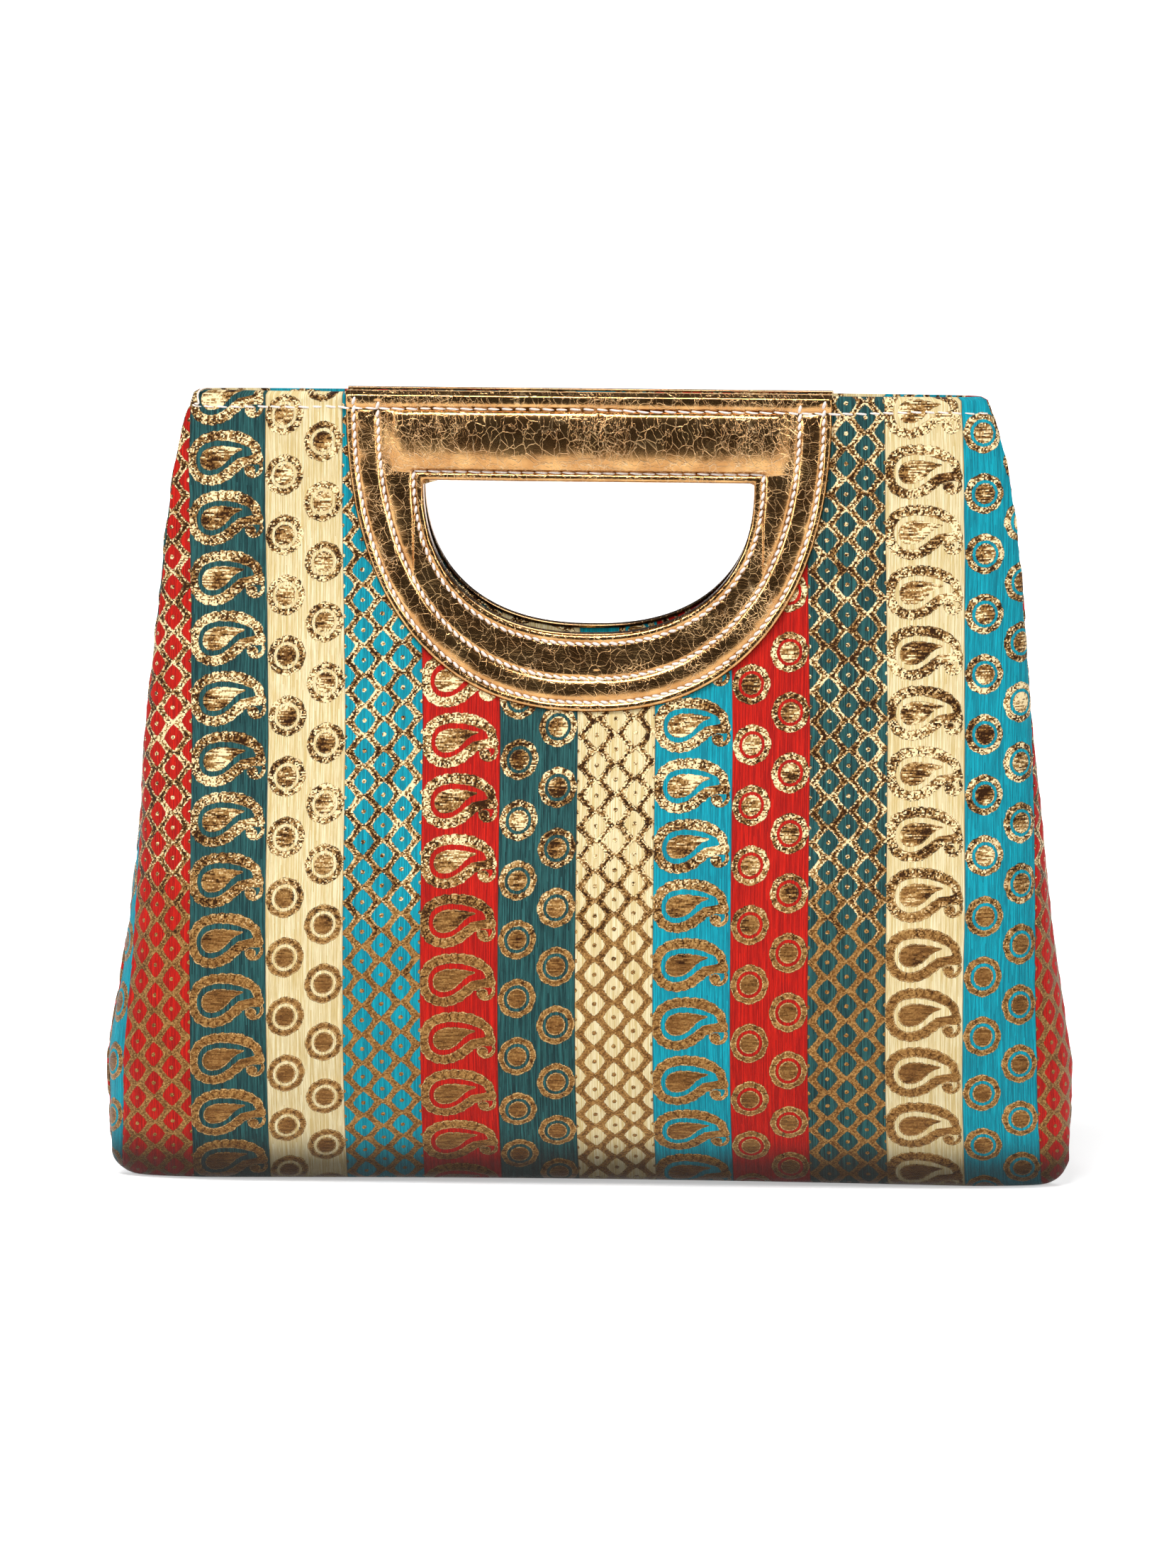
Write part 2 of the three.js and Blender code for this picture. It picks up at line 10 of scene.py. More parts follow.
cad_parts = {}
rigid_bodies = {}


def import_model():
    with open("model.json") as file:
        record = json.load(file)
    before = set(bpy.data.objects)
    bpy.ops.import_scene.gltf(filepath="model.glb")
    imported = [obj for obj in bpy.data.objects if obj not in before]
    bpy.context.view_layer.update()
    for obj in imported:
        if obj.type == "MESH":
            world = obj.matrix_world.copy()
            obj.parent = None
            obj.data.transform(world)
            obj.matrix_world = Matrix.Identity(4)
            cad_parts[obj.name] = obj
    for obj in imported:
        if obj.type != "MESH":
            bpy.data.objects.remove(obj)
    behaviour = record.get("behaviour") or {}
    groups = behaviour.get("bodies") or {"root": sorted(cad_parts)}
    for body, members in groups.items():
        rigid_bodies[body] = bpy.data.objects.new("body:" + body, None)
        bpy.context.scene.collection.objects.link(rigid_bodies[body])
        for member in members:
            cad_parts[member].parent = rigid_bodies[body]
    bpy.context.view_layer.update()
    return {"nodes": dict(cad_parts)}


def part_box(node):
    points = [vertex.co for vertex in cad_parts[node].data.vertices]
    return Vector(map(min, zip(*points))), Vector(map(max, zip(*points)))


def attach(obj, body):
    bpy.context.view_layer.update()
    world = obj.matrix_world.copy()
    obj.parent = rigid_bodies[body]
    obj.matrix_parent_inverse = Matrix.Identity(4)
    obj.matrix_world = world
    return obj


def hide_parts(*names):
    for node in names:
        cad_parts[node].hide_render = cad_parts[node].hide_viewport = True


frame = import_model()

# Sizes are in millimetres until a mesh is made. The bag's own come from the frame.
MM = 0.001
panel_low, panel_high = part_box("front_panel")
HEIGHT = panel_high[2] / MM
BASE_WIDTH = (panel_high[0] - panel_low[0]) / MM
MOUTH_HALF_DEPTH, BELLY_HALF_DEPTH = 5.5, 31.0
SPREAD_POWER = 1.3
BELLY_RADIUS, BELLY_TURN = 100.0, math.pi / 5
BASE_ROLL, CORNER_ROLL = 8.0, 10.0
TOP_WIDTH = 276.0
UPRIGHT_HEIGHT = 42.0
WAIST = 1.6
CORNER_EASE, CORNER_DROP = 5.0, 14.0
SIDE_POWER = 8.0

# Layers, as depths inwards from the cloth's outer face
BROCADE_DEPTH = 1.0
FACING_OUTER, FACING_INNER = 2.8, 3.4
SEAM_GAP = 0.04

# Hand opening and leather patch
OPENING_HALF = 55.5
OPENING_DROP, OPENING_HEIGHT = 29.3, 51.1
D_POWER = 2.35
BAND_WIDTH = 26.1
LEATHER = 0.9
STITCH_INSET = 3.2
MIDDLE_HALF, MIDDLE_FOOT = 70.8, 95.3
TOP_STITCH = 5.2
OPENING_FOOT = OPENING_DROP + OPENING_HEIGHT
PATCH_HALF, PATCH_FOOT = OPENING_HALF + BAND_WIDTH, OPENING_FOOT + BAND_WIDTH
FACING_LENGTH = OPENING_FOOT + 23.0

# Woven cloth
STRIPE, STRIPE_START = 26.0, -4.8
REPEAT, SKEW = 20.3, 0.075

# The back's stripes go on from the front's, five stripes along.
BACK_SHIFT = STRIPE * 5

RNG_SEED = 11
HALF_TURN, FULL_TURN = math.pi / 2, 2 * math.pi


def side_facts(side):
    """Whether a side is the back, and how far its stripes are moved along."""
    back = side == "back"
    return back, BACK_SHIFT if back else 0


# Smooth curves and noise

def s_curve(share):
    return share * share * (3 - 2 * share)


def smooth(low, high, x):
    return s_curve(np.clip((x - low) / (high - low), 0, 1))


def ridge(x, width):
    """A soft ridge, 1 where x is 0."""
    return np.exp(-((x / width) ** 2))


def noise_at(x, y, seed, size=256):
    """Smooth noise from -1 to 1 at arrays of places, with a cell of 1."""
    lattice = np.random.RandomState(RNG_SEED + seed).uniform(-1, 1, (size, size))
    i, j = np.floor(x).astype(int), np.floor(y).astype(int)
    u, v = x - i, y - j
    u, v = s_curve(u), s_curve(v)
    a, b = lattice[i % size, j % size], lattice[(i + 1) % size, j % size]
    c, d = lattice[i % size, (j + 1) % size], lattice[(i + 1) % size, (j + 1) % size]
    return (a + (b - a) * u) * (1 - v) + (c + (d - c) * u) * v


# Shape of the bag, the same as the frame's

BELLY_FOOT = BASE_ROLL * (1 - math.sin(BELLY_TURN))
BELLY_TOP = BELLY_FOOT + BELLY_RADIUS * math.sin(BELLY_TURN)
BELLY_FOOT_DEPTH = BELLY_HALF_DEPTH - BELLY_RADIUS * (1 - math.cos(BELLY_TURN))
BASE_HALF_DEPTH = BELLY_FOOT_DEPTH - BASE_ROLL * math.cos(BELLY_TURN)


def face_half_depth(height):
    """Half the depth of the bag at heights above the belly's deepest level."""
    share = np.clip((HEIGHT - height) / (HEIGHT - BELLY_TOP), 0, 1) ** SPREAD_POWER
    return MOUTH_HALF_DEPTH + (BELLY_HALF_DEPTH - MOUTH_HALF_DEPTH) * s_curve(share)


FACE_HEIGHTS = np.linspace(HEIGHT, BELLY_TOP, 401)
FACE_STEPS = np.hypot(np.diff(FACE_HEIGHTS), np.diff(face_half_depth(FACE_HEIGHTS)))
FACE_DOWNS = np.concatenate([[0], np.cumsum(FACE_STEPS)])
FACE_LENGTH = float(FACE_DOWNS[-1])
FRONT_LENGTH = FACE_LENGTH + BELLY_RADIUS * BELLY_TURN
BASE_START = FRONT_LENGTH + BASE_ROLL * (HALF_TURN - BELLY_TURN)
BASE_END = BASE_START + BASE_HALF_DEPTH


def half_width_at(height):
    drop = np.minimum(1, (HEIGHT - height) / (HEIGHT - UPRIGHT_HEIGHT))
    seam = (TOP_WIDTH + (BASE_WIDTH - TOP_WIDTH) * drop) / 2
    bow = WAIST * np.sin(math.pi * drop * drop)
    low = np.clip(CORNER_ROLL - height, 0, CORNER_ROLL)
    corner = CORNER_ROLL - np.sqrt(CORNER_ROLL ** 2 - low ** 2)
    return seam - bow - corner - CORNER_EASE * np.exp((height - HEIGHT) / CORNER_DROP)


def station_at(down):
    """Half width, half depth, height and lift at distances down the front's middle line."""
    down = np.maximum(down, 0)
    in_belly = np.clip((down - FACE_LENGTH) / BELLY_RADIUS, 0, BELLY_TURN)
    lift = in_belly + np.clip((down - FRONT_LENGTH) / BASE_ROLL, 0, HALF_TURN - BELLY_TURN)
    face_height = np.interp(down, FACE_DOWNS, FACE_HEIGHTS)
    belly_height = BELLY_TOP - BELLY_RADIUS * np.sin(in_belly)
    belly_depth = BELLY_HALF_DEPTH - BELLY_RADIUS * (1 - np.cos(in_belly))
    roll_depth = BASE_HALF_DEPTH + BASE_ROLL * np.cos(lift) - np.maximum(0, down - BASE_START)
    face, front = down <= FACE_LENGTH, down <= FRONT_LENGTH
    height = np.where(face, face_height, np.where(front, belly_height, BASE_ROLL * (1 - np.sin(lift))))
    depth = np.where(face, face_half_depth(face_height), np.where(front, belly_depth, roll_depth))
    return half_width_at(height), np.maximum(depth, SEAM_GAP), height, lift


TABLE_ROWS = np.linspace(0, BASE_END, 330)
TABLE_SHARES = 512


def section_tables():
    """For each row, the half cloth width, and tables over its share of x, sine and cosine."""
    turn = np.linspace(0, HALF_TURN, 900)
    sine, cosine = np.sin(turn), np.cos(turn)
    reach = sine ** (2 / SIDE_POWER)
    shares = np.linspace(0, 1, TABLE_SHARES + 1)
    halves, tables = [], []
    widths, depths, _, _ = station_at(TABLE_ROWS)
    for width, depth in zip(widths, depths):
        x, y = width * reach, depth * cosine
        along = np.concatenate([[0], np.cumsum(np.hypot(np.diff(x), np.diff(y)))])
        halves.append(along[-1])
        at = shares * along[-1]
        tables.append([np.interp(at, along, curve) for curve in (reach, sine, cosine)])
    return np.array(halves), np.array(tables)


HALF_CLOTHS, SECTIONS = section_tables()


def half_cloth_at(down):
    return np.interp(down, TABLE_ROWS, HALF_CLOTHS)


SWELL, BROAD_SWELL, SMALL_SWELL = 0.8, 1.1, 0.3


def swell_at(across, down):
    """How far the soft cloth stands off the board, in millimetres."""
    broad = BROAD_SWELL * noise_at(across / 75 + 9.3, down / 60 + 4.1, 1)
    small = SMALL_SWELL * noise_at(across / 28 + 3.7, down / 24 + 1.9, 2)
    calm = smooth(FRONT_LENGTH + 4, FRONT_LENGTH - 40, down) * smooth(-6, 30, down)
    return np.maximum(0, SWELL + broad + small) * calm


# The base stands on its ends, and its middle is this much off the floor.
BASE_ARCH, ARCH_HALF = 1.1, 130.0


def bag_points(across, down, depth, back=False):
    """Points of the bag, in millimetres, for places on the cloth and depths inwards."""
    across, down, depth = np.broadcast_arrays(
        np.asarray(across, float), np.asarray(down, float), np.asarray(depth, float)
    )
    share = np.clip(np.abs(across) / half_cloth_at(down), 0, 1) * TABLE_SHARES
    row = np.clip(down / BASE_END, 0, 1) * (len(TABLE_ROWS) - 1)
    i = np.minimum(share.astype(int), TABLE_SHARES - 1)
    j = np.minimum(row.astype(int), len(TABLE_ROWS) - 2)
    u, v = share - i, row - j
    reach, sine, cosine = (
        (SECTIONS[j, k, i] * (1 - u) + SECTIONS[j, k, i + 1] * u) * (1 - v)
        + (SECTIONS[j + 1, k, i] * (1 - u) + SECTIONS[j + 1, k, i + 1] * u) * v
        for k in range(3)
    )
    width, half_depth, height, lift = station_at(down)
    on_board = np.clip((BROCADE_DEPTH + 0.25 - depth) / 0.2, 0, 1)
    depth = depth - on_board * swell_at(across + 400 * back, down)
    inwards = depth * np.cos(lift)
    half = np.maximum(0, half_depth - inwards - SEAM_GAP / 2)
    x = np.sign(across) * (width * reach - inwards * sine)
    y = -(SEAM_GAP / 2 + half * cosine)
    arch = BASE_ARCH * np.maximum(0, 1 - (x / ARCH_HALF) ** 2) * smooth(40, 4, height)
    z = height + depth * np.sin(lift) - np.minimum(down, 0) + arch
    return np.stack([x, -y if back else y, z], -1)


# The woven pattern, worked out once for arrays and once for shader nodes

class ArrayMath:
    """The pattern's arithmetic on arrays."""

    floor = staticmethod(np.floor)
    sqrt = staticmethod(np.sqrt)
    absolute = staticmethod(np.abs)
    minimum = staticmethod(np.minimum)
    maximum = staticmethod(np.maximum)
    arctan2 = staticmethod(np.arctan2)
    cosine = staticmethod(np.cos)

    @staticmethod
    def power(a, b):
        return np.maximum(a, 0) ** b

    @staticmethod
    def pingpong(a, scale):
        return scale - np.abs(np.mod(a, 2 * scale) - scale)

    @staticmethod
    def modulo(a, b):
        return np.mod(a, b)

    @staticmethod
    def choose(test, yes, no):
        return np.where(test > 0.5, yes, no)

    @staticmethod
    def curve(points, turns):
        angles, radii = zip(*points)
        return np.interp(turns * 360, angles, radii, period=360)


class Signal:
    """A shader node's output that takes part in arithmetic."""

    def __init__(self, maths, socket):
        self.maths, self.socket = maths, socket

    def __add__(self, other):
        return self.maths.node("ADD", self, other)

    def __sub__(self, other):
        return self.maths.node("SUBTRACT", self, other)

    def __mul__(self, other):
        return self.maths.node("MULTIPLY", self, other)

    def __truediv__(self, other):
        return self.maths.node("DIVIDE", self, other)

    def __rsub__(self, other):
        return self.maths.node("SUBTRACT", other, self)

    __radd__ = __add__
    __rmul__ = __mul__


class NodeMath:
    """The pattern's arithmetic as shader nodes in one material."""

    def __init__(self, tree):
        self.tree = tree

    def link(self, value, socket):
        """Links a signal or a socket to a socket, or sets a constant on it. None leaves it alone."""
        if isinstance(value, Signal):
            value = value.socket
        if isinstance(value, bpy.types.NodeSocket):
            self.tree.links.new(value, socket)
        elif value is not None:
            socket.default_value = value

    def node(self, operation, *values, clamp=False):
        made = self.tree.nodes.new("ShaderNodeMath")
        made.operation, made.use_clamp = operation, clamp
        for value, socket in zip(values, made.inputs):
            self.link(value, socket)
        return Signal(self, made.outputs[0])

    floor = partialmethod(node, "FLOOR")
    sqrt = partialmethod(node, "SQRT")
    absolute = partialmethod(node, "ABSOLUTE")
    cosine = partialmethod(node, "COSINE")
    minimum = partialmethod(node, "MINIMUM")
    maximum = partialmethod(node, "MAXIMUM")
    arctan2 = partialmethod(node, "ARCTAN2")
    pingpong = partialmethod(node, "PINGPONG")
    modulo = partialmethod(node, "FLOORED_MODULO")

    def power(self, a, b):
        return self.node("POWER", self.maximum(a, 0.0), b)

    def choose(self, test, yes, no):
        return no + (yes - no) * self.node("GREATER_THAN", test, 0.5)

    def curve(self, points, turns):
        made = self.tree.nodes.new("ShaderNodeFloatCurve")
        mapping = made.mapping
        mapping.use_clip = False
        curve = mapping.curves[0]
        ends = [(angle / 360, radius / CURVE_REACH) for angle, radius in points]
        (first, start), (last, end) = ends[0], ends[-1]
        wrap = start + (end - start) * first / (1 + first - last)
        while len(curve.points) > 2:
            curve.points.remove(curve.points[-1])
        curve.points[0].location, curve.points[1].location = (0, wrap), (1, wrap)
        for place in ends:
            curve.points.new(*place)
        for point in curve.points:
            point.handle_type = "VECTOR"
        mapping.update()
        self.link(turns, made.inputs["Value"])
        return Signal(self, made.outputs[0]) * CURVE_REACH


# Outlines of the woven drop, as (degrees clockwise from the right, radius) about its middle
CURVE_REACH = 20.0
DROP_MIDDLE = 9.7
DROP_BODY = [
    (1.4, 15.0), (9.6, 15.8), (14.5, 15.6), (18.1, 11.5), (29.6, 9.5), (43.3, 8.8), (59, 8.8),
    (78, 8.9), (97, 9.3), (118, 9.7), (138, 10.1), (156, 10.1), (178, 9.85), (200, 10.0),
    (220, 9.85), (243, 9.2), (270, 8.65), (294, 9.25), (314, 10.75), (331, 12.4), (344, 13.9),
    (354, 14.9),
]
DROP_LOOP = [
    (2.2, 12.4), (5, 9.4), (9, 7.2), (28, 5.6), (59, 5.1), (90, 5.65), (117, 6.5), (144, 7.0),
    (171, 6.9), (196, 6.8), (221, 6.5), (254, 5.5), (293, 5.65), (321, 7.2), (339, 9.3), (350, 11.5),
]
DROP_HEART = [
    (4, 4.9), (29, 3.9), (66, 3.7), (105, 4.3), (135, 5.3), (160, 5.6), (184, 5.45), (207, 5.05),
    (236, 4.1), (282, 3.65), (320, 4.9), (340, 7.2), (347, 9.1), (350, 9.0), (353, 6.6),
]
HOOK = {"ring": (12.45, 5.1, 3.2), "gap": (12.15, 4.6, 2.25), "blob": (11.2, 5.85, 1.95)}

DIAMOND_HALF = (3.5, 4.3)
DIAMOND_POWER = 1.2
DIAMOND_SLOPE = 1.9
DIAMOND_DOT = 0.75
DIAMOND_PHASE = -2.15
RING_RADIUS, RING_GAP, RING_GAP_HALF = 6.2, 3.8, 0.48
RING_PHASE = -0.7
RING_SQUEEZE, RING_BEADS = 0.94, 4.0
PAISLEY_PHASE = 11.4
DROP_BEADS, BEAD_SLANT = 18, 0.35
BEAD = 0.3


# How the cloth lies on the bag: it drifts sideways below the mouth, its rows arch towards the sides, and the
# rows draw together over the belly.
DRIFT, DRIFT_START, DRIFT_LENGTH = 1.8, 40.0, 75.0
ROW_ARCH, ARCH_REACH = 2.9, 143.0
EASING, EASING_START, EASING_NARROWING = 0.026, 150.0, 1.42


def settled(m, across, down):
    """Places on the loom for places on the bag."""
    drifted = m.minimum(m.maximum(down - DRIFT_START, 0.0) / DRIFT_LENGTH, 1.0)
    aside = across / ARCH_REACH
    aside = aside * aside
    in_middle = m.maximum(1.0 - aside * EASING_NARROWING, 0.0)
    eased = m.maximum(down - EASING_START, 0.0) * EASING * in_middle
    return across - drifted * DRIFT, down + across * SKEW - aside * aside * ROW_ARCH + eased


def diamond_level(m, x, y):
    """Under 1 inside a diamond with slightly round corners."""
    return sum(m.power(place / half, DIAMOND_POWER) for place, half in zip((x, y), DIAMOND_HALF))


def woven_pattern(m, across, down):
    """Signed distance into the gold, numbers of colour and motif, puff, beads, place in stripe."""
    across, b = settled(m, across, down)
    stripes = (across - STRIPE_START) / STRIPE
    stripe = m.floor(stripes)
    a = (stripes - stripe) * STRIPE
    colour = m.modulo(stripe, 4.0)
    motif = m.modulo(stripe, 3.0)
    far = lambda x, y: m.sqrt(x * x + y * y)

    quarter = STRIPE / 4
    fourth = REPEAT / 4
    x1, y1 = m.pingpong(a, quarter), m.pingpong(b - DIAMOND_PHASE, fourth)
    x2, y2 = quarter - x1, fourth - y1
    level = m.minimum(diamond_level(m, x1, y1), diamond_level(m, x2, y2))
    outside = (level - 1.0) * DIAMOND_SLOPE
    dot = DIAMOND_DOT - m.minimum(far(x1, y1), far(x2, y2))
    diamonds = m.maximum(outside, dot)

    right = m.floor(a / (2 * quarter))
    ring_x = a - quarter - right * (2 * quarter)
    ring_y = m.modulo(b - RING_PHASE + REPEAT / 2 + right * (REPEAT / 2), REPEAT) - REPEAT / 2
    radius = far(ring_x, ring_y * RING_SQUEEZE)
    ring_bead = m.absolute(m.cosine(m.arctan2(ring_y, ring_x) * RING_BEADS))
    ring_gap = m.absolute(radius - RING_GAP) - RING_GAP_HALF
    rings = m.minimum(RING_RADIUS + ring_bead * BEAD - radius, ring_gap)

    x = a - DROP_MIDDLE
    y = m.modulo(b - PAISLEY_PHASE + REPEAT / 2, REPEAT) - REPEAT / 2
    radius = far(x, y)
    turns = m.modulo(m.arctan2(y, x) / FULL_TURN, 1.0)
    body, loop, heart = (m.curve(points, turns) for points in (DROP_BODY, DROP_LOOP, DROP_HEART))
    drop_bead = m.absolute(m.cosine(turns * (DROP_BEADS * math.pi) + radius * BEAD_SLANT))
    drop = m.minimum(body + drop_bead * BEAD - radius, m.maximum(heart - radius, radius - loop))
    away = {name: far(x - cx, y - cy) for name, (cx, cy, _) in HOOK.items()}
    within = {name: r - away[name] for name, (_, _, r) in HOOK.items()}
    hook = m.minimum(within["ring"], m.maximum(within["blob"], within["gap"] * -1.0))
    paisley = m.maximum(drop, hook)

    pick = lambda diamond, drop, ring: m.choose(motif, m.choose(motif - 1.0, ring, drop), diamond)
    gold = pick(diamonds, paisley, rings)
    puff = pick(outside * -1.0, body - radius, RING_RADIUS - far(ring_x, ring_y))
    return gold, colour, motif, puff, pick(1.0, drop_bead, ring_bead), a


RELIEF = {"dome": 0.42, "thread": 0.10, "seam": 0.14, "fluff": 0.05, "dent": 0.10}


def brocade_relief(across, down):
    """Height of the weave, from 0 in its valleys to about 0.6 millimetres on its crests."""
    gold, _, _, puff, beads, a = woven_pattern(ArrayMath, across, down)
    dome = np.sqrt(smooth(-0.6, 3.6, puff))
    heights = {
        "dome": dome,
        "thread": smooth(-0.15, 0.25, gold),
        "seam": -ridge(np.minimum(a, STRIPE - a), 0.7),
        "fluff": noise_at(across / 3.1, down / 4.3, 5),
        "dent": -((1 - beads) ** 2) * smooth(3.2, 2.2, puff) * dome,
    }
    return sum(RELIEF[name] * height for name, height in heights.items())


# Hand opening and stitch lines, as places on the cloth

def d_level(across, down, half, top, foot):
    """Over 1 outside a D, under 1 inside it."""
    below = np.maximum(0, (down - top) / (foot - top))
    level = (np.abs(across) / half) ** D_POWER + below ** D_POWER
    return np.where(down < top, np.maximum(level, 1 + (top - down) / 20), level)


def d_curve(half, top, foot, steps=200):
    """The curved side of a D, from its right end round its foot to its left end."""
    turn = np.linspace(0, math.pi, 2 * steps + 1)
    x = np.sign(np.cos(turn)) * np.abs(np.cos(turn)) ** (2 / D_POWER) * half
    y = top + np.sin(turn) ** (2 / D_POWER) * (foot - top)
    return np.stack([x, y], -1)


def along(path):
    return np.concatenate([[0], np.cumsum(np.hypot(*np.diff(path, axis=0).T))])


def resampled(path, count):
    """count places at even steps along a path."""
    length = along(path)
    at = np.linspace(0, length[-1], count)
    return np.stack([np.interp(at, length, path[:, k]) for k in range(2)], -1)


RIM_CURVE = d_curve(OPENING_HALF, OPENING_DROP, OPENING_FOOT)
EDGE_CURVE = d_curve(PATCH_HALF, 0, PATCH_FOOT)
INNER_HALF, INNER_FOOT = OPENING_HALF + STITCH_INSET, OPENING_FOOT + STITCH_INSET
BAR_FOOT = OPENING_DROP - STITCH_INSET
OUTER_HALF, OUTER_FOOT = PATCH_HALF - 2.8, PATCH_FOOT - STITCH_INSET
INNER_D = d_curve(INNER_HALF, BAR_FOOT, INNER_FOOT)
MIDDLE_D = d_curve(MIDDLE_HALF, 2.5, MIDDLE_FOOT)
OUTER_D = d_curve(OUTER_HALF, 1.0, OUTER_FOOT)
BAR_LINE = np.array([[-INNER_HALF, BAR_FOOT], [INNER_HALF, BAR_FOOT]])


def top_stitch_at(across):
    """How far down the stitch line along the top edge is. It wanders a little."""
    wander = lambda length, seed: noise_at(across / length, across * 0, seed)
    return TOP_STITCH + 0.5 * wander(22, 8) + 0.12 * wander(5, 9)


def top_line():
    reach = half_cloth_at(TOP_STITCH) - 1.5
    x = np.linspace(-reach, reach, 400)
    return np.stack([x, top_stitch_at(x)], -1)


def tree_of(*paths):
    points = np.vstack([resampled(path, max(2, int(along(path)[-1] / 0.4))) for path in paths])
    tree = KDTree(len(points))
    for i, (x, y) in enumerate(points):
        tree.insert((x, y, 0), i)
    tree.balance()
    return tree


def distance_to(tree, across, down):
    flat = np.stack([np.ravel(across), np.ravel(down)], -1)
    far = [tree.find((x, y, 0))[2] for x, y in flat]
    return np.reshape(far, np.shape(across))


LINE_TREES = {
    "inner": tree_of(INNER_D, BAR_LINE),
    "middle": tree_of(MIDDLE_D),
    "outer": tree_of(OUTER_D),
    "top": tree_of(top_line()),
    "rim": tree_of(RIM_CURVE, np.array([[-OPENING_HALF, OPENING_DROP], [OPENING_HALF, OPENING_DROP]])),
    "edge": tree_of(EDGE_CURVE),
}

# How high the leather stands between its stitch lines, and how square the shoulders of each dome are
GRIP_PUFF, BAND_PUFF, OUTER_PUFF, EDGE_PUFF = 3.0, 1.5, 1.0, 0.45
GRIP_SHOULDER, BAND_SHOULDER = 0.45, 0.8
GRIP_END, TOP_FADE, BAR_BLEND = 9.0, 5.0, 5.0
LEATHER_BASE = 0.55
GROOVE_DEPTH, GROOVE_HALF = 0.45, 0.75

# Creases and unevenness of the leather, as heights
BAR_CREASE, BAND_CREASE = 0.045, 0.040
MIDDLE_FOLD, FOLD_PLACE, FOLD_HALF = 0.40, 3.3, 1.1
GATHER, GATHER_TURN = 0.16, 2.4


def dome(share):
    return np.clip(4 * share * (1 - share), 0, 1)


def dome_between(one, other):
    """A dome between two lines, from the distances to them."""
    return dome(one / (one + other + 1e-6))


def padded_form(across, down, away, in_middle, on_bar):
    """Height of the leather's padded zones. away holds the distances to the lines."""
    in_outer = d_level(across, down, OUTER_HALF, 0, OUTER_FOOT) < 1
    in_rim_strip = d_level(across, down, INNER_HALF, BAR_FOOT, INNER_FOOT) < 1
    down_bar = np.clip((down - TOP_STITCH) / (BAR_FOOT - TOP_STITCH), 0, 1)
    bar = GRIP_PUFF * dome(down_bar) ** GRIP_SHOULDER * smooth(0, GRIP_END, away["middle"])
    band = BAND_PUFF * dome_between(away["inner"], away["middle"]) ** BAND_SHOULDER
    outer_band = OUTER_PUFF * dome_between(away["middle"], away["outer"]) ** BAND_SHOULDER
    zones = (
        (down < TOP_STITCH, EDGE_PUFF * dome(np.clip(down / TOP_STITCH, 0, 1))),
        (in_rim_strip, EDGE_PUFF * dome_between(away["rim"], away["inner"])),
        (in_middle, bar * on_bar + band * (1 - on_bar)),
        (in_outer, outer_band * smooth(0, TOP_FADE, np.abs(down - TOP_STITCH))),
    )
    edge_roll = EDGE_PUFF * dome_between(away["edge"], away["outer"])
    return np.select([test for test, _ in zones], [height for _, height in zones], edge_roll)


def crease_field(across, down, seed, width, length):
    """Soft ridges about a millimetre wide, from 0 to 1, longer down than across."""
    bend = 2.0 * noise_at(across / 9, down / 9, seed)
    return ridge(noise_at((across + bend) / width, (down + bend) / length, seed + 1), 0.30)


def leather_creases(across, down, nearest, bar_share, back):
    """Creases, gathers at the stitches and the fold in the middle, as heights."""
    x = across + (300 if back else 0)
    off_bar = 1 - bar_share
    ends = smooth(34, 66, np.abs(across)) + 0.8 * ridge(across - 4, 9)
    upright = crease_field(x, down, 20, 3.4, 22) * (0.35 + ends)
    level = crease_field(x, down, 23, 16, 3.6) * smooth(17, 24, down)
    crossed = crease_field(x, down, 26, 6.5, 5.5) + 0.7 * crease_field(x, down, 28, 4.0, 8.0)
    creases = BAR_CREASE * (upright + level) * bar_share + BAND_CREASE * crossed * off_bar
    soft = 0.11 * noise_at(x / 7, down / 6, 40) + 0.03 * noise_at(x / 2.8, down / 2.8, 41)
    waves = np.sin(across * GATHER_TURN + 1.5 * noise_at(x / 8, down / 8, 42))
    gathers = GATHER * waves * np.exp(-nearest / 2.2) * bar_share
    fold = MIDDLE_FOLD * ridge(across - FOLD_PLACE - 0.6 * np.sin(down / 5), FOLD_HALF)
    fold = fold * np.maximum(bar_share * smooth(21, 12, down), (down > OPENING_FOOT + 12) * 0.6)
    return (creases + soft * (0.35 + 0.65 * off_bar) + gathers - fold) * smooth(0, 1.6, nearest)


def patch_height(across, down, back=False):
    """Height of the leather's outer face above the cloth."""
    away = {name: distance_to(tree, across, down) for name, tree in LINE_TREES.items()}
    in_middle = d_level(across, down, MIDDLE_HALF, 0, MIDDLE_FOOT) < 1
    on_bar = smooth(BAR_FOOT + BAR_BLEND, BAR_FOOT - BAR_BLEND, down)
    on_bar = np.where(np.abs(across) < INNER_HALF, 1.0, on_bar)
    height = padded_form(across, down, away, in_middle, on_bar)
    outer_lines = np.where(down > 2, np.minimum(away["middle"], away["outer"]), 9)
    nearest = np.minimum(np.minimum(away["inner"], away["top"]), outer_lines)
    groove = GROOVE_DEPTH * ridge(nearest, GROOVE_HALF)
    creases = leather_creases(across, down, nearest, np.where(in_middle, on_bar, 0), back)
    return LEATHER_BASE + height - groove + creases


# Meshes

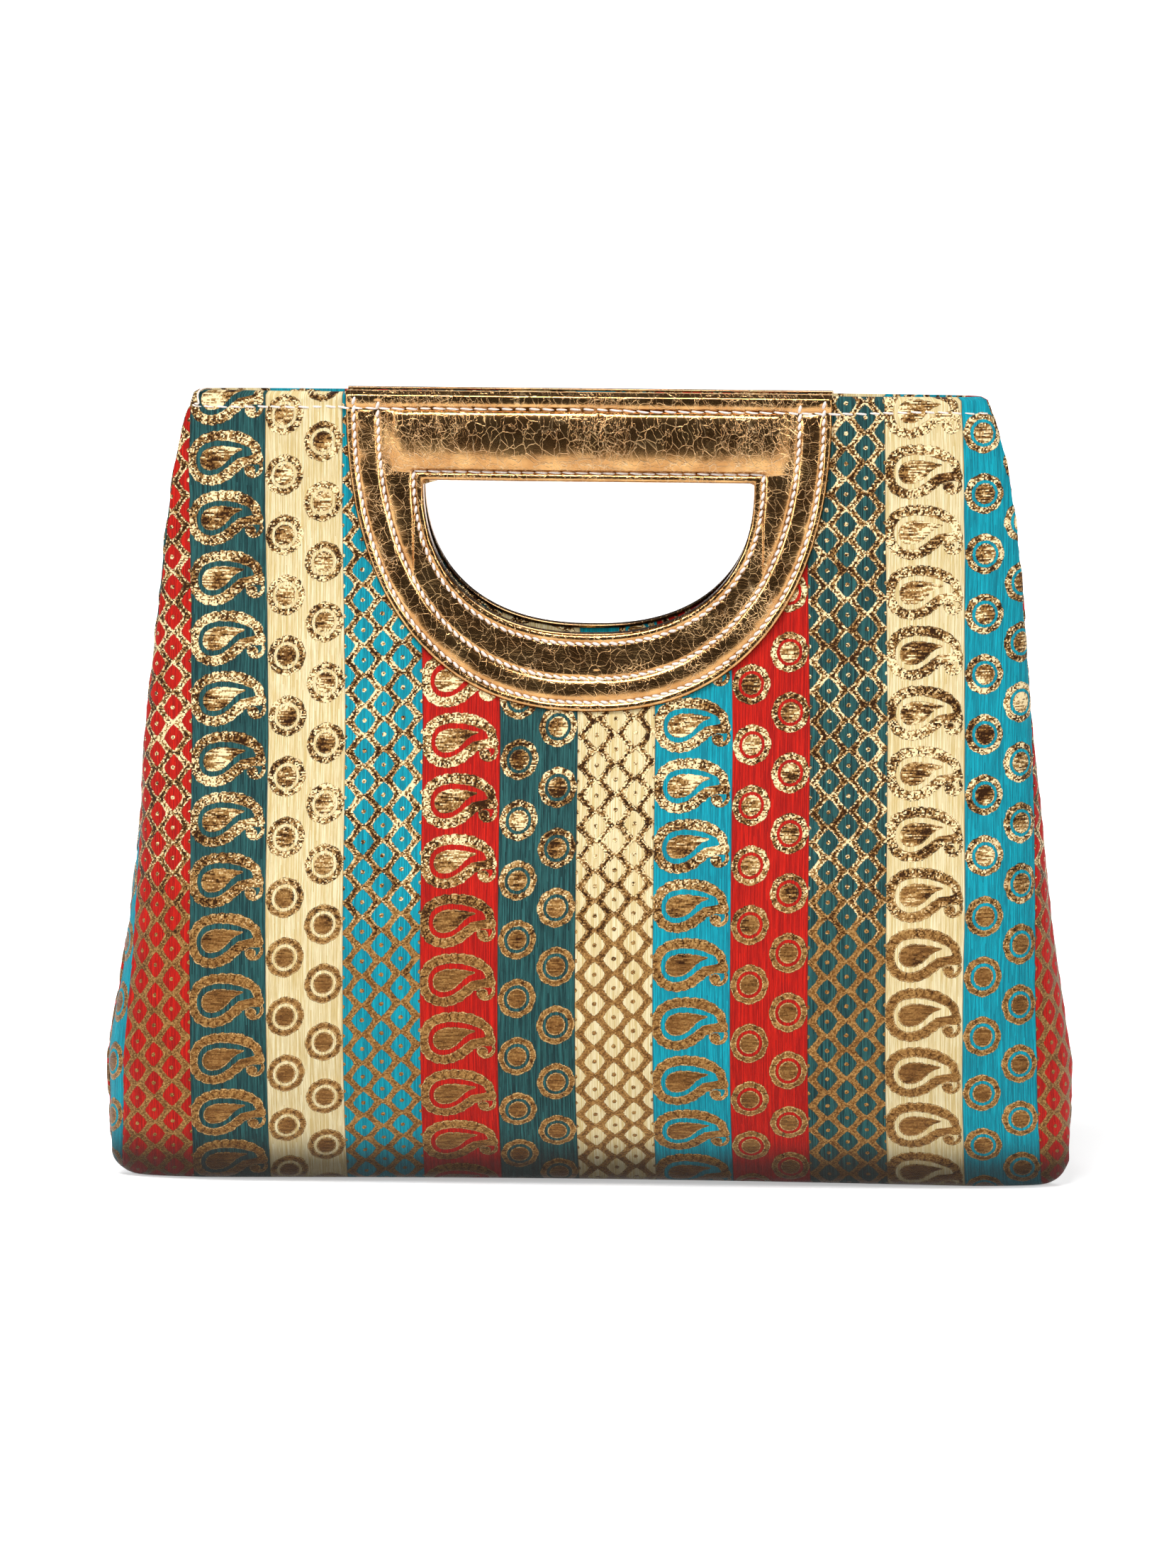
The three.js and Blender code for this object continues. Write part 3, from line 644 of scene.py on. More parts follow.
def mesh_object(name, points, faces, cloth=None, back=False, sharp=50):
    """A mesh piece from points in millimetres. back turns its faces, for a mirrored piece."""
    faces = np.asarray(faces, np.int32)
    if back:
        faces = faces[:, ::-1]
    mesh = bpy.data.meshes.new(name)
    mesh.vertices.add(len(points))
    mesh.vertices.foreach_set("co", (np.asarray(points) * MM).astype(np.float32).ravel())
    mesh.loops.add(faces.size)
    mesh.loops.foreach_set("vertex_index", faces.ravel())
    mesh.polygons.add(len(faces))
    mesh.polygons.foreach_set("loop_start", np.arange(0, faces.size, faces.shape[1], dtype=np.int32))
    mesh.update(calc_edges=True)
    if cloth is not None:
        layer = mesh.uv_layers.new(name="cloth")
        layer.uv.foreach_set("vector", np.asarray(cloth, np.float32)[faces.ravel()].ravel())
    mesh.validate()
    mesh.shade_smooth()
    mesh.set_sharp_from_angle(angle=math.radians(sharp))
    made = bpy.data.objects.new(name, mesh)
    bpy.context.collection.objects.link(made)
    return made


def zip_rows(upper, upper_at, lower, lower_at):
    """Triangles between two rows of points, each in order of its own measure."""
    faces, i, j = [], 0, 0
    while i < len(upper) - 1 or j < len(lower) - 1:
        next_upper = upper_at[i + 1] if i < len(upper) - 1 else math.inf
        next_lower = lower_at[j + 1] if j < len(lower) - 1 else math.inf
        if next_upper <= next_lower:
            faces.append((upper[i], lower[j], upper[i + 1]))
            i += 1
        else:
            faces.append((upper[i], lower[j], lower[j + 1]))
            j += 1
    return faces


def tube_faces(rings, sides):
    """Triangles of a closed tube of rings of points, with a fan over each end."""
    ids = np.arange(rings * sides).reshape(rings, sides)
    beside = np.roll(ids, -1, 1)
    a, b, c, d = ids[:-1], beside[:-1], beside[1:], ids[1:]
    faces = [np.stack([a, b, c], -1).reshape(-1, 3), np.stack([a, c, d], -1).reshape(-1, 3)]
    for ring, order in ((ids[0], -1), (ids[-1], 1)):
        fan = [(ring[0], ring[k], ring[k + 1]) for k in range(1, sides - 1)]
        faces.append(np.array(fan)[:, ::order])
    return np.vstack(faces)


HOLE_GROW = LEATHER + 0.3
HOLE_MIDDLE = np.array([0.0, OPENING_DROP + 20.0])


def hole_outline():
    half, top, foot = OPENING_HALF + HOLE_GROW, OPENING_DROP - HOLE_GROW, OPENING_FOOT + HOLE_GROW
    curve = d_curve(half, top, foot)
    flat = np.stack([np.linspace(-half, half, 100)[1:-1], np.full(98, top)], -1)
    return np.vstack([curve, flat])


def hole_radius(turn):
    """The radius of the hole cut for the hand opening, at angles about its middle."""
    outline = hole_outline() - HOLE_MIDDLE
    angle = np.arctan2(outline[:, 1], outline[:, 0])
    order = np.argsort(angle)
    return np.interp(turn, angle[order], np.hypot(*outline.T)[order], period=FULL_TURN)


class ClothGrid:
    """A grid over part of the cloth, with the hand opening left out of it."""

    def __init__(self, rows, columns, hole, first):
        self.rows, self.count = rows, columns
        share = np.linspace(-1, 1, columns)
        self.across = half_cloth_at(rows)[:, None] * share[None, :]
        self.down = np.repeat(rows[:, None], columns, 1)
        self.ids = first + np.arange(self.across.size).reshape(self.across.shape)
        self.keep = np.ones((len(rows) - 1, columns - 1), bool)
        self.rim = np.array([], int)
        if hole:
            self.cut()

    def cut(self):
        x, y = self.across, self.down - HOLE_MIDDLE[1]
        radius, turn = np.hypot(x, y), np.arctan2(y, x)
        inside = radius < hole_radius(turn)
        corners = inside[:-1, :-1].astype(int) + inside[1:, :-1] + inside[:-1, 1:] + inside[1:, 1:]
        self.keep = corners < 2
        used = np.zeros(inside.shape, int)
        for di in (0, 1):
            for dj in (0, 1):
                used[di:di + self.keep.shape[0], dj:dj + self.keep.shape[1]] += self.keep
        near = radius < hole_radius(turn) + 4 * (self.rows[1] - self.rows[0])
        rim = (used > 0) & (used < 4) & near
        rim[0], rim[-1], rim[:, 0], rim[:, -1] = False, False, False, False
        moved = hole_radius(turn[rim])
        self.across[rim] = moved * np.cos(turn[rim])
        self.down[rim] = moved * np.sin(turn[rim]) + HOLE_MIDDLE[1]
        order = np.argsort(turn[rim])
        self.rim, self.rim_turn = self.ids[rim][order], turn[rim][order]

    def faces(self):
        a, b = self.ids[:-1, :-1][self.keep], self.ids[1:, :-1][self.keep]
        c, d = self.ids[1:, 1:][self.keep], self.ids[:-1, 1:][self.keep]
        return np.vstack([np.stack([a, b, d], -1), np.stack([d, b, c], -1)])


COARSER = 4


def cloth_layer(name, rows, columns, seen_depth, hidden_depth, hole, inside, back):
    """A closed layer of cloth: a fine seen side and a coarse hidden side, joined at the edges."""
    fine = ClothGrid(rows, columns, hole, 0)
    rough = ClothGrid(rows[::COARSER], (columns - 1) // COARSER + 1, hole, fine.across.size)
    across = np.concatenate([fine.across.ravel(), rough.across.ravel()])
    down = np.concatenate([fine.down.ravel(), rough.down.ravel()])
    depth = np.concatenate([
        seen_depth(fine.across.ravel(), fine.down.ravel()),
        hidden_depth(rough.across.ravel(), rough.down.ravel()),
    ])
    flip = lambda faces: np.asarray(faces)[:, ::-1]
    faces = [fine.faces(), flip(rough.faces())]
    edge = lambda grid, pick: (grid.ids[pick], grid.across[pick])
    side = lambda grid, column: (grid.ids[:, column], grid.rows)
    faces.append(zip_rows(*edge(rough, 0), *edge(fine, 0)))
    faces.append(zip_rows(*edge(fine, -1), *edge(rough, -1)))
    faces.append(zip_rows(*side(rough, -1), *side(fine, -1)))
    faces.append(zip_rows(*side(fine, 0), *side(rough, 0)))
    if hole:
        loops = [
            (np.append(grid.rim, grid.rim[0]), np.append(grid.rim_turn, grid.rim_turn[0] + FULL_TURN))
            for grid in (fine, rough)
        ]
        faces.append(zip_rows(*loops[0], *loops[1]))
    faces = np.vstack(faces)
    if inside:
        faces = flip(faces)
    points = bag_points(across, down, depth, back)
    used, compact = np.unique(faces, return_inverse=True)
    faces = compact.reshape(-1, 3)
    cloth = np.stack([across, down], -1)[used]
    if back:
        cloth[:, 0] += BACK_SHIFT
    return mesh_object(name, points[used], faces, cloth, back)


def cloth_piece(name, side, part, span, mesh, seen, hidden, hole=True, inside=True):
    """A layer of cloth in the place of its CAD node. mesh holds its row step and its columns."""
    (start, end), (step, columns) = span, mesh
    count = max(COARSER, int(round((end - start) / step / COARSER)) * COARSER)
    rows = np.linspace(start, end, count + 1)
    made = cloth_layer(f"{side}_{name}", rows, columns, seen, hidden, hole, inside, side == "back")
    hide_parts(f"{side}_{part}")
    return made


def rounded_edge(distance, radius):
    """Depth that turns a sharp edge into a round one."""
    inside = np.clip(radius - distance, 0, radius)
    return radius - np.sqrt(np.maximum(0, radius * radius - inside * inside))


CREST_DEPTH = 0.5
PRESSED_DEPTH = 0.62


def panel_depth(across, down, shift):
    relief = brocade_relief(across + shift, down)
    depth = CREST_DEPTH - relief
    level = d_level(across, down, PATCH_HALF, 0, PATCH_FOOT)
    outside = smooth(1.004, 1.035, level)
    depth = PRESSED_DEPTH + (depth - PRESSED_DEPTH) * outside
    stitched = 0.28 * top_groove(across, down) * outside
    flat = smooth(BASE_START - 14, BASE_START, down)
    depth = (depth + stitched) * (1 - flat) + 0.05 * flat
    depth = depth + rounded_edge(down, 1.5)
    depth = depth + rounded_edge(half_cloth_at(down) - np.abs(across), 0.9) * (down > 1.5)
    return depth + rounded_edge(BASE_END - down, 0.35)


def top_groove(across, down):
    """1 along the stitch line at the top edge, where the thread pulls the cloth in."""
    return ridge(np.abs(down - top_stitch_at(across)), 0.6)


def hem_depth(across, down):
    """The panel's hidden side, turned in over the board at the top."""
    return BROCADE_DEPTH + (FACING_OUTER - 0.12 - BROCADE_DEPTH) * (down < 1.8)


def make_panel(side):
    _, shift = side_facts(side)
    seen = lambda across, down: panel_depth(across, down, shift)
    span, mesh = (0, BASE_END), (1.12, 321)
    return cloth_piece("brocade", side, "panel", span, mesh, seen, hem_depth, inside=False)


def facing_back(across, down):
    return FACING_OUTER + 0 * down


def make_facing(side):
    _, shift = side_facts(side)

    def seen(across, down):
        depth = FACING_INNER + 0.5 * brocade_relief(across + shift, down) - 0.15
        return depth - 0.25 * top_groove(across, down) - rounded_edge(down, 0.45)

    span, mesh = (0, FACING_LENGTH), (1.5, 181)
    return cloth_piece("facing_cloth", side, "facing", span, mesh, seen, facing_back)


def make_lining(side):
    back, _ = side_facts(side)

    def seen(across, down):
        folds = noise_at(across / 13 + 50 * back, down / 46, 61) + 0.5 * noise_at(across / 6, down / 30, 62)
        calm = smooth(0, 14, down - FACING_LENGTH) * smooth(BASE_START, BASE_START - 30, down)
        return FACING_INNER + 0.15 + calm * np.clip(0.5 + folds, 0, 2) * 0.8

    span, mesh = (FACING_LENGTH + 0.1, BASE_END), (2.2, 161)
    return cloth_piece("lining_cloth", side, "lining", span, mesh, seen, facing_back, hole=False)


# Leather patch, as a profile swept round the D

PATCH_LINES, PATCH_TOP_STEP, PATCH_CURVE_STEP = 76, 0.45, 0.55


def patch_stations():
    """Matching places on the opening's rim and on the patch's edge, all the way round."""
    top = int(round(2 * OPENING_HALF / PATCH_TOP_STEP))
    curve = int(round(along(EDGE_CURVE)[-1] / PATCH_CURVE_STEP))

    def all_round(half, drop, path):
        flat = np.stack([np.linspace(-half, half, top + 1), np.full(top + 1, float(drop))], -1)
        return np.vstack([flat[:-1], resampled(path, curve + 1)[:-1]])

    rim = all_round(OPENING_HALF, OPENING_DROP, RIM_CURVE)
    on_top = np.zeros(len(rim))
    on_top[:top + 1] = 1
    return rim, all_round(PATCH_HALF, 0, EDGE_CURVE), on_top


# Past the patch's outer face its profile goes on: a lip round the cut layers, as places inwards from the rim
# and heights, and an edge that is turned in, as the same and then as places over the top edge.
LIP = (
    (LEATHER, -0.2), (LEATHER, -FACING_INNER), (0.75, -FACING_INNER - 0.35), (0.2, -FACING_INNER - 0.4),
    (0.02, -FACING_INNER), (0.0, -2.4), (0.03, -1.4), (0.0, -0.5),
)
TURNED_EDGE = (
    (0.02, -0.05, -0.75, -0.9), (0.0, -0.3, -0.85, -1.9), (-0.2, -0.35, -0.6, -2.75),
    (-0.5, -0.35, -0.05, -2.7), (-0.9, -0.3, -0.05, -1.5), (-1.5, -0.2, 0.3, -0.2),
)


def make_patch(side):
    back, _ = side_facts(side)
    rim, edge, on_top = patch_stations()
    rim = sum(np.roll(rim, k, 0) for k in range(-3, 4)) / 7
    share = np.linspace(0, 1, PATCH_LINES)
    width = np.hypot(*(edge - rim).T)
    across = rim[:, None, 0] + (edge - rim)[:, None, 0] * share
    down = rim[:, None, 1] + (edge - rim)[:, None, 1] * share
    height = patch_height(across, down, back)
    from_rim = share[None, :] * width[:, None]
    to_edge = (1 - share[None, :]) * width[:, None]
    height = height - rounded_edge(from_rim, 1.1) * 0.9
    height = height - rounded_edge(to_edge, 1.0) * 0.9
    columns = [(across[:, k], down[:, k], height[:, k]) for k in range(PATCH_LINES)]

    out = (edge - rim) / width[:, None]
    at_rim = lambda w, h: (rim[:, 0] + out[:, 0] * w, rim[:, 1] + out[:, 1] * w, np.full(len(rim), h))

    def at_edge(w, h, over_down, over_h):
        """A place at the band's edge, or folded over the top edge where the patch ends there."""
        x = edge[:, 0] + out[:, 0] * w * (1 - on_top)
        y = (edge[:, 1] + out[:, 1] * w) * (1 - on_top) + over_down * on_top
        return x, y, h + (over_h - h) * on_top

    lip, turned = [at_rim(*place) for place in LIP], [at_edge(*place) for place in TURNED_EDGE]
    profile = lip + columns + turned
    across, down, height = (np.stack([line[k] for line in profile], 1) for k in range(3))
    count, loop = across.shape
    ids = np.arange(count * loop).reshape(count, loop)
    a, b = ids, np.roll(ids, -1, 1)
    c, d = np.roll(b, -1, 0), np.roll(ids, -1, 0)
    quads = np.stack([a, d, c, b], -1).reshape(-1, 4)
    points = bag_points(across.ravel(), down.ravel(), -height.ravel(), back)
    cloth = np.stack([across.ravel(), down.ravel()], -1)
    made = mesh_object(f"{side}_leather", points, quads, cloth, back, sharp=70)
    outwards(made)
    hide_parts(f"{side}_handle_patch")
    return made


def outwards(piece):
    """Turns the faces over if the closed mesh is inside out."""
    mesh = piece.data
    corners = np.zeros(len(mesh.vertices) * 3, np.float32)
    mesh.vertices.foreach_get("co", corners)
    mesh.calc_loop_triangles()
    triangles = np.zeros(len(mesh.loop_triangles) * 3, np.int32)
    mesh.loop_triangles.foreach_get("vertices", triangles)
    a, b, c = (corners.reshape(-1, 3).astype(float)[triangles.reshape(-1, 3)[:, k]] for k in range(3))
    if np.einsum("ij,ij->i", a, np.cross(b, c)).sum() < 0:
        mesh.flip_normals()


# Stitches

THREAD, FINE_THREAD = 0.56, 0.40
STITCH_RINGS, STITCH_SIDES = 7, 7


def leather_or_cloth_height(across, down, side):
    """Height of the surface that a stitch lies on."""
    back, shift = side_facts(side)
    on_patch = d_level(across, down, PATCH_HALF, 0, PATCH_FOOT) < 1
    return np.where(on_patch, patch_height(across, down, back), -panel_depth(across, down, shift))


def stitches_on(path, pitch, side, radius, slant):
    """Thread between needle holes along a path, as rings of points."""
    back, _ = side_facts(side)
    count = max(2, int(round(along(path)[-1] / pitch)))
    holes = resampled(path, count + 1)
    rng = np.random.RandomState(RNG_SEED + count + (100 if back else 0))
    holes = holes + rng.normal(0, 0.05, holes.shape)
    start, end = holes[:-1], holes[1:]
    step = end - start
    sideways = np.stack([-step[:, 1], step[:, 0]], -1) * slant
    start, end = start + 0.02 * step - sideways / 2, end - 0.02 * step + sideways / 2
    u = np.linspace(0, 1, STITCH_RINGS)
    centre = start[:, None] + (end - start)[:, None] * u[None, :, None]
    hump = np.sin(math.pi * np.clip(u, 0, 1)) ** 0.55
    base = leather_or_cloth_height(centre[..., 0], centre[..., 1], side)
    level = base.max(1, keepdims=True) * 0.5 + base * 0.5
    height = level + (-0.55 + 0.72 * hump)[None, :] * (1 + rng.normal(0, 0.10, (count, 1)))
    points = bag_points(centre[..., 0], centre[..., 1], -height, back)
    above = bag_points(centre[..., 0], centre[..., 1], -height - 1, back)
    normal = above - points
    normal /= np.linalg.norm(normal, axis=-1, keepdims=True)
    tangent = np.gradient(points, axis=1)
    tangent /= np.linalg.norm(tangent, axis=-1, keepdims=True)
    across = np.cross(tangent, normal)
    turn = np.arange(STITCH_SIDES) / STITCH_SIDES * FULL_TURN
    thick = radius * (0.50 + 0.50 * np.sin(math.pi * np.clip(u * 0.9 + 0.05, 0, 1)) ** 0.5)
    ring = (
        across[:, :, None] * np.cos(turn)[None, None, :, None]
        + normal[:, :, None] * np.sin(turn)[None, None, :, None] * 0.85
    ) * thick[None, :, None, None]
    return (points[:, :, None] + ring).reshape(count, -1, 3)


def stitch_faces(count):
    starts = np.arange(count) * STITCH_RINGS * STITCH_SIDES
    return (tube_faces(STITCH_RINGS, STITCH_SIDES)[None] + starts[:, None, None]).reshape(-1, 3)


CURVE_PITCH, STRAIGHT_PITCH = 2.9, 4.6


def make_stitches(side):
    curved = [(path, CURVE_PITCH, side, THREAD, 0.30) for path in (INNER_D, MIDDLE_D, OUTER_D)]
    straight = [(path, STRAIGHT_PITCH, side, FINE_THREAD, 0.10) for path in (BAR_LINE, top_line())]
    blocks = np.vstack([stitches_on(*line) for line in curved + straight])
    points = blocks.reshape(-1, 3)
    made = mesh_object(f"{side}_stitching", points, stitch_faces(len(blocks)), sharp=80)
    outwards(made)
    return made


# Loose thread end at the left top corner

def tube_mesh(name, path, radius, sides=8):
    """A closed round tube along points in millimetres."""
    path = np.asarray(path, float)
    tangent = np.gradient(path, axis=0)
    tangent /= np.linalg.norm(tangent, axis=1, keepdims=True)
    side = np.cross(tangent, [0.2, -1, 0.1])
    side /= np.linalg.norm(side, axis=1, keepdims=True)
    up = np.cross(side, tangent)
    turn = np.arange(sides) / sides * FULL_TURN
    taper = np.minimum(1, 0.35 + np.minimum(np.arange(len(path)), np.arange(len(path))[::-1]) / 2)
    ring = side[:, None] * np.cos(turn)[None, :, None] + up[:, None] * np.sin(turn)[None, :, None]
    points = (path[:, None] + ring * radius * taper[:, None, None]).reshape(-1, 3)
    made = mesh_object(name, points, tube_faces(len(path), sides))
    outwards(made)
    return made


def make_loose_thread():
    u = np.linspace(0, 1, 26)
    across = -half_cloth_at(3.0) + 3.0 + 5.5 * u + 0.8 * np.sin(9 * u)
    down = 4.6 - 6.2 * u + 1.1 * np.sin(7 * u)
    path = bag_points(across, np.maximum(down, -2.5), -0.5 - 0.7 * np.sin(math.pi * u))
    made = tube_mesh("loose_thread_end", path, 0.3)
    return made


# Snap

SNAP_RADIUS = 7.0


def lathed(name, node, profile, steps=64):
    """A turned piece that stands where its CAD node stands."""
    low, high = (Vector(corner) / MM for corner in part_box(node))
    centre = (low + high) / 2
    inwards = 1 if centre.y < 0 else -1
    above, below = centre.z + SNAP_RADIUS, centre.z - SNAP_RADIUS
    lean = math.atan2(face_half_depth(below) - face_half_depth(above), above - below)
    axis = Vector((0, inwards * math.cos(lean), math.sin(lean) * -1))
    seat_depth = FACING_INNER + 0.45
    down = np.interp(-centre.z, -FACE_HEIGHTS, FACE_DOWNS)
    seat = bag_points(0.0, down, seat_depth, inwards < 0)
    side = Vector((1, 0, 0))
    up = axis.cross(side)
    turn = np.arange(steps) / steps * FULL_TURN
    points = [
        np.array(seat) + np.array(axis) * h + r * (np.outer(np.cos(turn), side) + np.outer(np.sin(turn), up))
        for r, h in profile
    ]
    made = mesh_object(name, np.vstack(points), tube_faces(len(profile), steps), sharp=35)
    outwards(made)
    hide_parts(node)
    return made


SOCKET_PROFILE = [(0.4, 0.0), (6.8, 0.0), (7.0, 0.25), (7.0, 1.6), (6.7, 1.95), (6.1, 2.35), (3.5, 2.4),
                  (3.15, 2.25), (3.0, 1.9), (3.0, 1.2), (0.4, 1.2)]
STUD_PROFILE = [(0.4, 0.0), (6.8, 0.0), (7.0, 0.2), (7.0, 0.75), (6.6, 1.1), (6.0, 1.2), (2.8, 1.2),
                (2.5, 1.4), (2.5, 2.55), (2.3, 2.9), (1.9, 3.0), (0.4, 3.0)]


# Materials

def new_material(name):
    material = bpy.data.materials.new(name)
    material.use_nodes = True
    return material, NodeMath(material.node_tree), material.node_tree.nodes["Principled BSDF"]


def fill(m, made, values):
    """Sets or links a node's inputs, given by name."""
    for name, value in values.items():
        m.link(value, made.inputs[name])


def node_of(m, kind, inputs, **settings):
    made = m.tree.nodes.new(kind)
    for name, value in settings.items():
        setattr(made, name, value)
    fill(m, made, inputs)
    return made


def cloth_places(m):
    """Across and down, in millimetres, from the piece's cloth map."""
    uv = node_of(m, "ShaderNodeUVMap", {}, uv_map="cloth")
    split = node_of(m, "ShaderNodeSeparateXYZ", {"Vector": uv.outputs[0]})
    return Signal(m, split.outputs[0]), Signal(m, split.outputs[1])


def object_places(m):
    return m.tree.nodes.new("ShaderNodeTexCoord").outputs["Object"]


def vector_of(m, place):
    """A vector from three values. A socket stays as it is."""
    if isinstance(place, tuple):
        return node_of(m, "ShaderNodeCombineXYZ", dict(zip("XYZ", place))).outputs[0]
    return place


def noise_node(m, place, scale=1.0, detail=2.0, roughness=0.5):
    inputs = {"Vector": vector_of(m, place), "Scale": scale, "Detail": detail, "Roughness": roughness}
    return Signal(m, node_of(m, "ShaderNodeTexNoise", inputs).outputs["Fac"])


def white_noise(m, place):
    made = node_of(m, "ShaderNodeTexWhiteNoise", {"Vector": vector_of(m, place)}, noise_dimensions="3D")
    return Signal(m, made.outputs["Value"])


def crack_node(m, place):
    """Distance to the nearest crack of an irregular net."""
    inputs = {"Vector": vector_of(m, place), "Scale": 1.0}
    made = node_of(m, "ShaderNodeTexVoronoi", inputs, feature="DISTANCE_TO_EDGE")
    return Signal(m, made.outputs["Distance"])


def ramp(m, value, stops, kind="LINEAR"):
    """A colour ramp of (position, colour) stops."""
    made = node_of(m, "ShaderNodeValToRGB", {"Fac": value})
    made.color_ramp.interpolation = kind
    elements = made.color_ramp.elements
    while len(elements) < len(stops):
        elements.new(0.5)
    for element, (position, colour) in zip(elements, stops):
        element.position, element.color = position, (*colour, 1)
    return made.outputs[0]


def mixed(m, factor, a, b, kind, first, out):
    made = node_of(m, "ShaderNodeMix", {"Factor": factor}, data_type=kind)
    for value, socket in ((a, made.inputs[first]), (b, made.inputs[first + 1])):
        m.link((*value, 1) if isinstance(value, tuple) else value, socket)
    return made.outputs[out]


def mix_colour(m, factor, a, b):
    return mixed(m, factor, a, b, "RGBA", 6, 2)


def mix_vector(m, factor, a, b):
    return mixed(m, factor, a, b, "VECTOR", 4, 1)


def range_of(m, value, low, high, out_low=0.0, out_high=1.0):
    inputs = {"From Min": low, "From Max": high, "To Min": out_low, "To Max": out_high, "Value": value}
    made = node_of(m, "ShaderNodeMapRange", inputs, interpolation_type="SMOOTHSTEP")
    return Signal(m, made.outputs["Result"])


def near(m, value, width, full=1.0, flat=0.0):
    """full where a value is within flat of 0, falling to 0 at a width."""
    return range_of(m, m.absolute(value), flat, width, full, 0.0)


def bump(m, height, distance, strength, normal=None):
    inputs = {"Distance": distance, "Strength": strength, "Height": height, "Normal": normal}
    return node_of(m, "ShaderNodeBump", inputs).outputs["Normal"]


GROUND = {
    "cream": ((1.0, 0.90, 0.60), (0.66, 0.46, 0.155)),
    "turquoise": ((0.004, 0.46, 0.58), (0.001, 0.16, 0.22)),
    "red": ((0.74, 0.014, 0.004), (0.27, 0.002, 0.001)),
    "green": ((0.032, 0.150, 0.145), (0.001, 0.010, 0.014)),
}
# Tones of the gold thread, from dark brown up to a pale gold that serves as its painted highlight.
GOLD_TONES = (0.035, 0.014, 0.005), (0.20, 0.088, 0.024), (0.46, 0.255, 0.080), (1.0, 0.82, 0.48)
# The first of these colours is the pale of painted highlights along the motifs' rims.
# The last of these colours is the dark of the painted shade towards the base.
GOLD_RIM_HIGHLIGHT, GROOVE_COLOUR, BASE_SHADE_COLOUR = (0.80, 0.58, 0.27), (0.04, 0.02, 0.01), (0.012, 0.008, 0.006)
THREAD_PITCH = 0.42
# Where the painted shade on the gold starts and where it is full, in millimetres down, and how far its
# boundary wanders.
SHADE_BELOW_START, SHADE_BELOW_END, SHADE_BELOW_SPREAD = 135.0, 195.0, 60.0


def silk_ground(m, across, down, stripe, colour):
    """The colour of the long upright threads, with streaks of painted sheen along them, and how far a place
    is from a thread's middle.
    """
    threads = across / THREAD_PITCH
    thread = m.floor(threads)
    per_thread = white_noise(m, (thread, m.floor(down / 23.0 + thread * 0.37), 3.0))
    # Painted sheen: long lighter and darker streaks along the threads.
    painted_sheen_streak = noise_node(m, (across * 2.6, down * 0.07, stripe * 7.0), detail=3.0, roughness=0.7)
    between = range_of(m, m.absolute(threads - thread - 0.5), 0.30, 0.5)
    shade = m.node("MULTIPLY_ADD", per_thread, 0.65, (painted_sheen_streak - 0.42) * 3.4, clamp=True)
    shade = m.node("MULTIPLY_ADD", between, 0.45, shade * 0.8, clamp=True)
    order = (colour + 0.5) / 4.0
    tones = ([(k / 4, GROUND[name][tone]) for k, name in enumerate(GROUND)] for tone in (0, 1))
    light, deep = (ramp(m, order, stops, "CONSTANT") for stops in tones)
    return mix_colour(m, shade, light, deep), between


def metal_thread(m, across, down, stripe, gold, motif, puff, beads):
    """The colour of the flat metal threads, with painted glints and painted sheen above, and painted shade
    that turns it flat brown below.
    """
    # Painted glints: each small cell of the flat metal thread is painted lighter or darker at random, as if
    # it caught the light.
    cell_x, cell_y = m.floor(across / 0.50 + down * 0.31), m.floor(down / 0.44)
    speckle = white_noise(m, (cell_x, cell_y, 1.0))
    rib = white_noise(m, (m.floor(across / 3.0 + cell_y * 0.41), cell_y, 8.0))
    broad = noise_node(m, (across * 0.16, down * 0.13, stripe * 3.0), detail=2.0)
    # Painted shade: from about 135 to 195 mm down, the gold is painted flatter and browner, along a
    # wandering boundary.
    painted_shade_below = range_of(m, down + (broad - 0.5) * SHADE_BELOW_SPREAD, SHADE_BELOW_START, SHADE_BELOW_END)
    heart = range_of(m, puff, 2.6, 3.6)
    grainy = speckle * (1.0 - heart * 0.6) + rib * (heart * 0.6)
    amount = 0.95 - painted_shade_below * 0.68
    # Painted sheen: broad patches and motif-sized patches of the gold are painted brighter or darker, as lit
    # metal would look.
    painted_sheen = noise_node(m, (across * 0.075, down * 0.055, stripe * 5.0 + 40.0), detail=1.0)
    painted_glint_and_shade = 0.50 + (grainy - 0.5) * amount + (broad - 0.5) * (1.20 - painted_shade_below * 0.95)
    painted_glint_and_shade = painted_glint_and_shade + (painted_sheen - 0.5) * (1.0 - painted_shade_below) * 1.3 - painted_shade_below * 0.13 - heart * 0.08
    # Painted shade: the gold is darker in the dents between its beads and down the middle of the lattice's
    # lines, less so lower down.
    shade_between_beads = (1.0 - beads) * (1.0 - beads) * (1.0 - heart)
    in_lattice = m.choose(motif, 0.0, 1.0)
    lattice_core_shade = range_of(m, gold, 0.40, 0.70) * in_lattice
    painted_glint_and_shade = painted_glint_and_shade - shade_between_beads * (0.38 - painted_shade_below * 0.22) - lattice_core_shade * (0.36 - painted_shade_below * 0.32)
    tone = ramp(m, painted_glint_and_shade, list(zip((0.10, 0.30, 0.52, 0.74), GOLD_TONES)))
    # Painted highlights: pale speckles along the rims of the motifs.
    rim_highlight = near(m, gold - 0.28, 0.22, flat=0.05) * speckle
    rim_highlight = rim_highlight * (0.3 + painted_shade_below * (0.4 - in_lattice * 0.65))
    tone = mix_colour(m, rim_highlight, tone, GOLD_RIM_HIGHLIGHT)
    return mix_colour(m, near(m, gold, 0.13, 0.7), tone, GOLD_TONES[0]), speckle


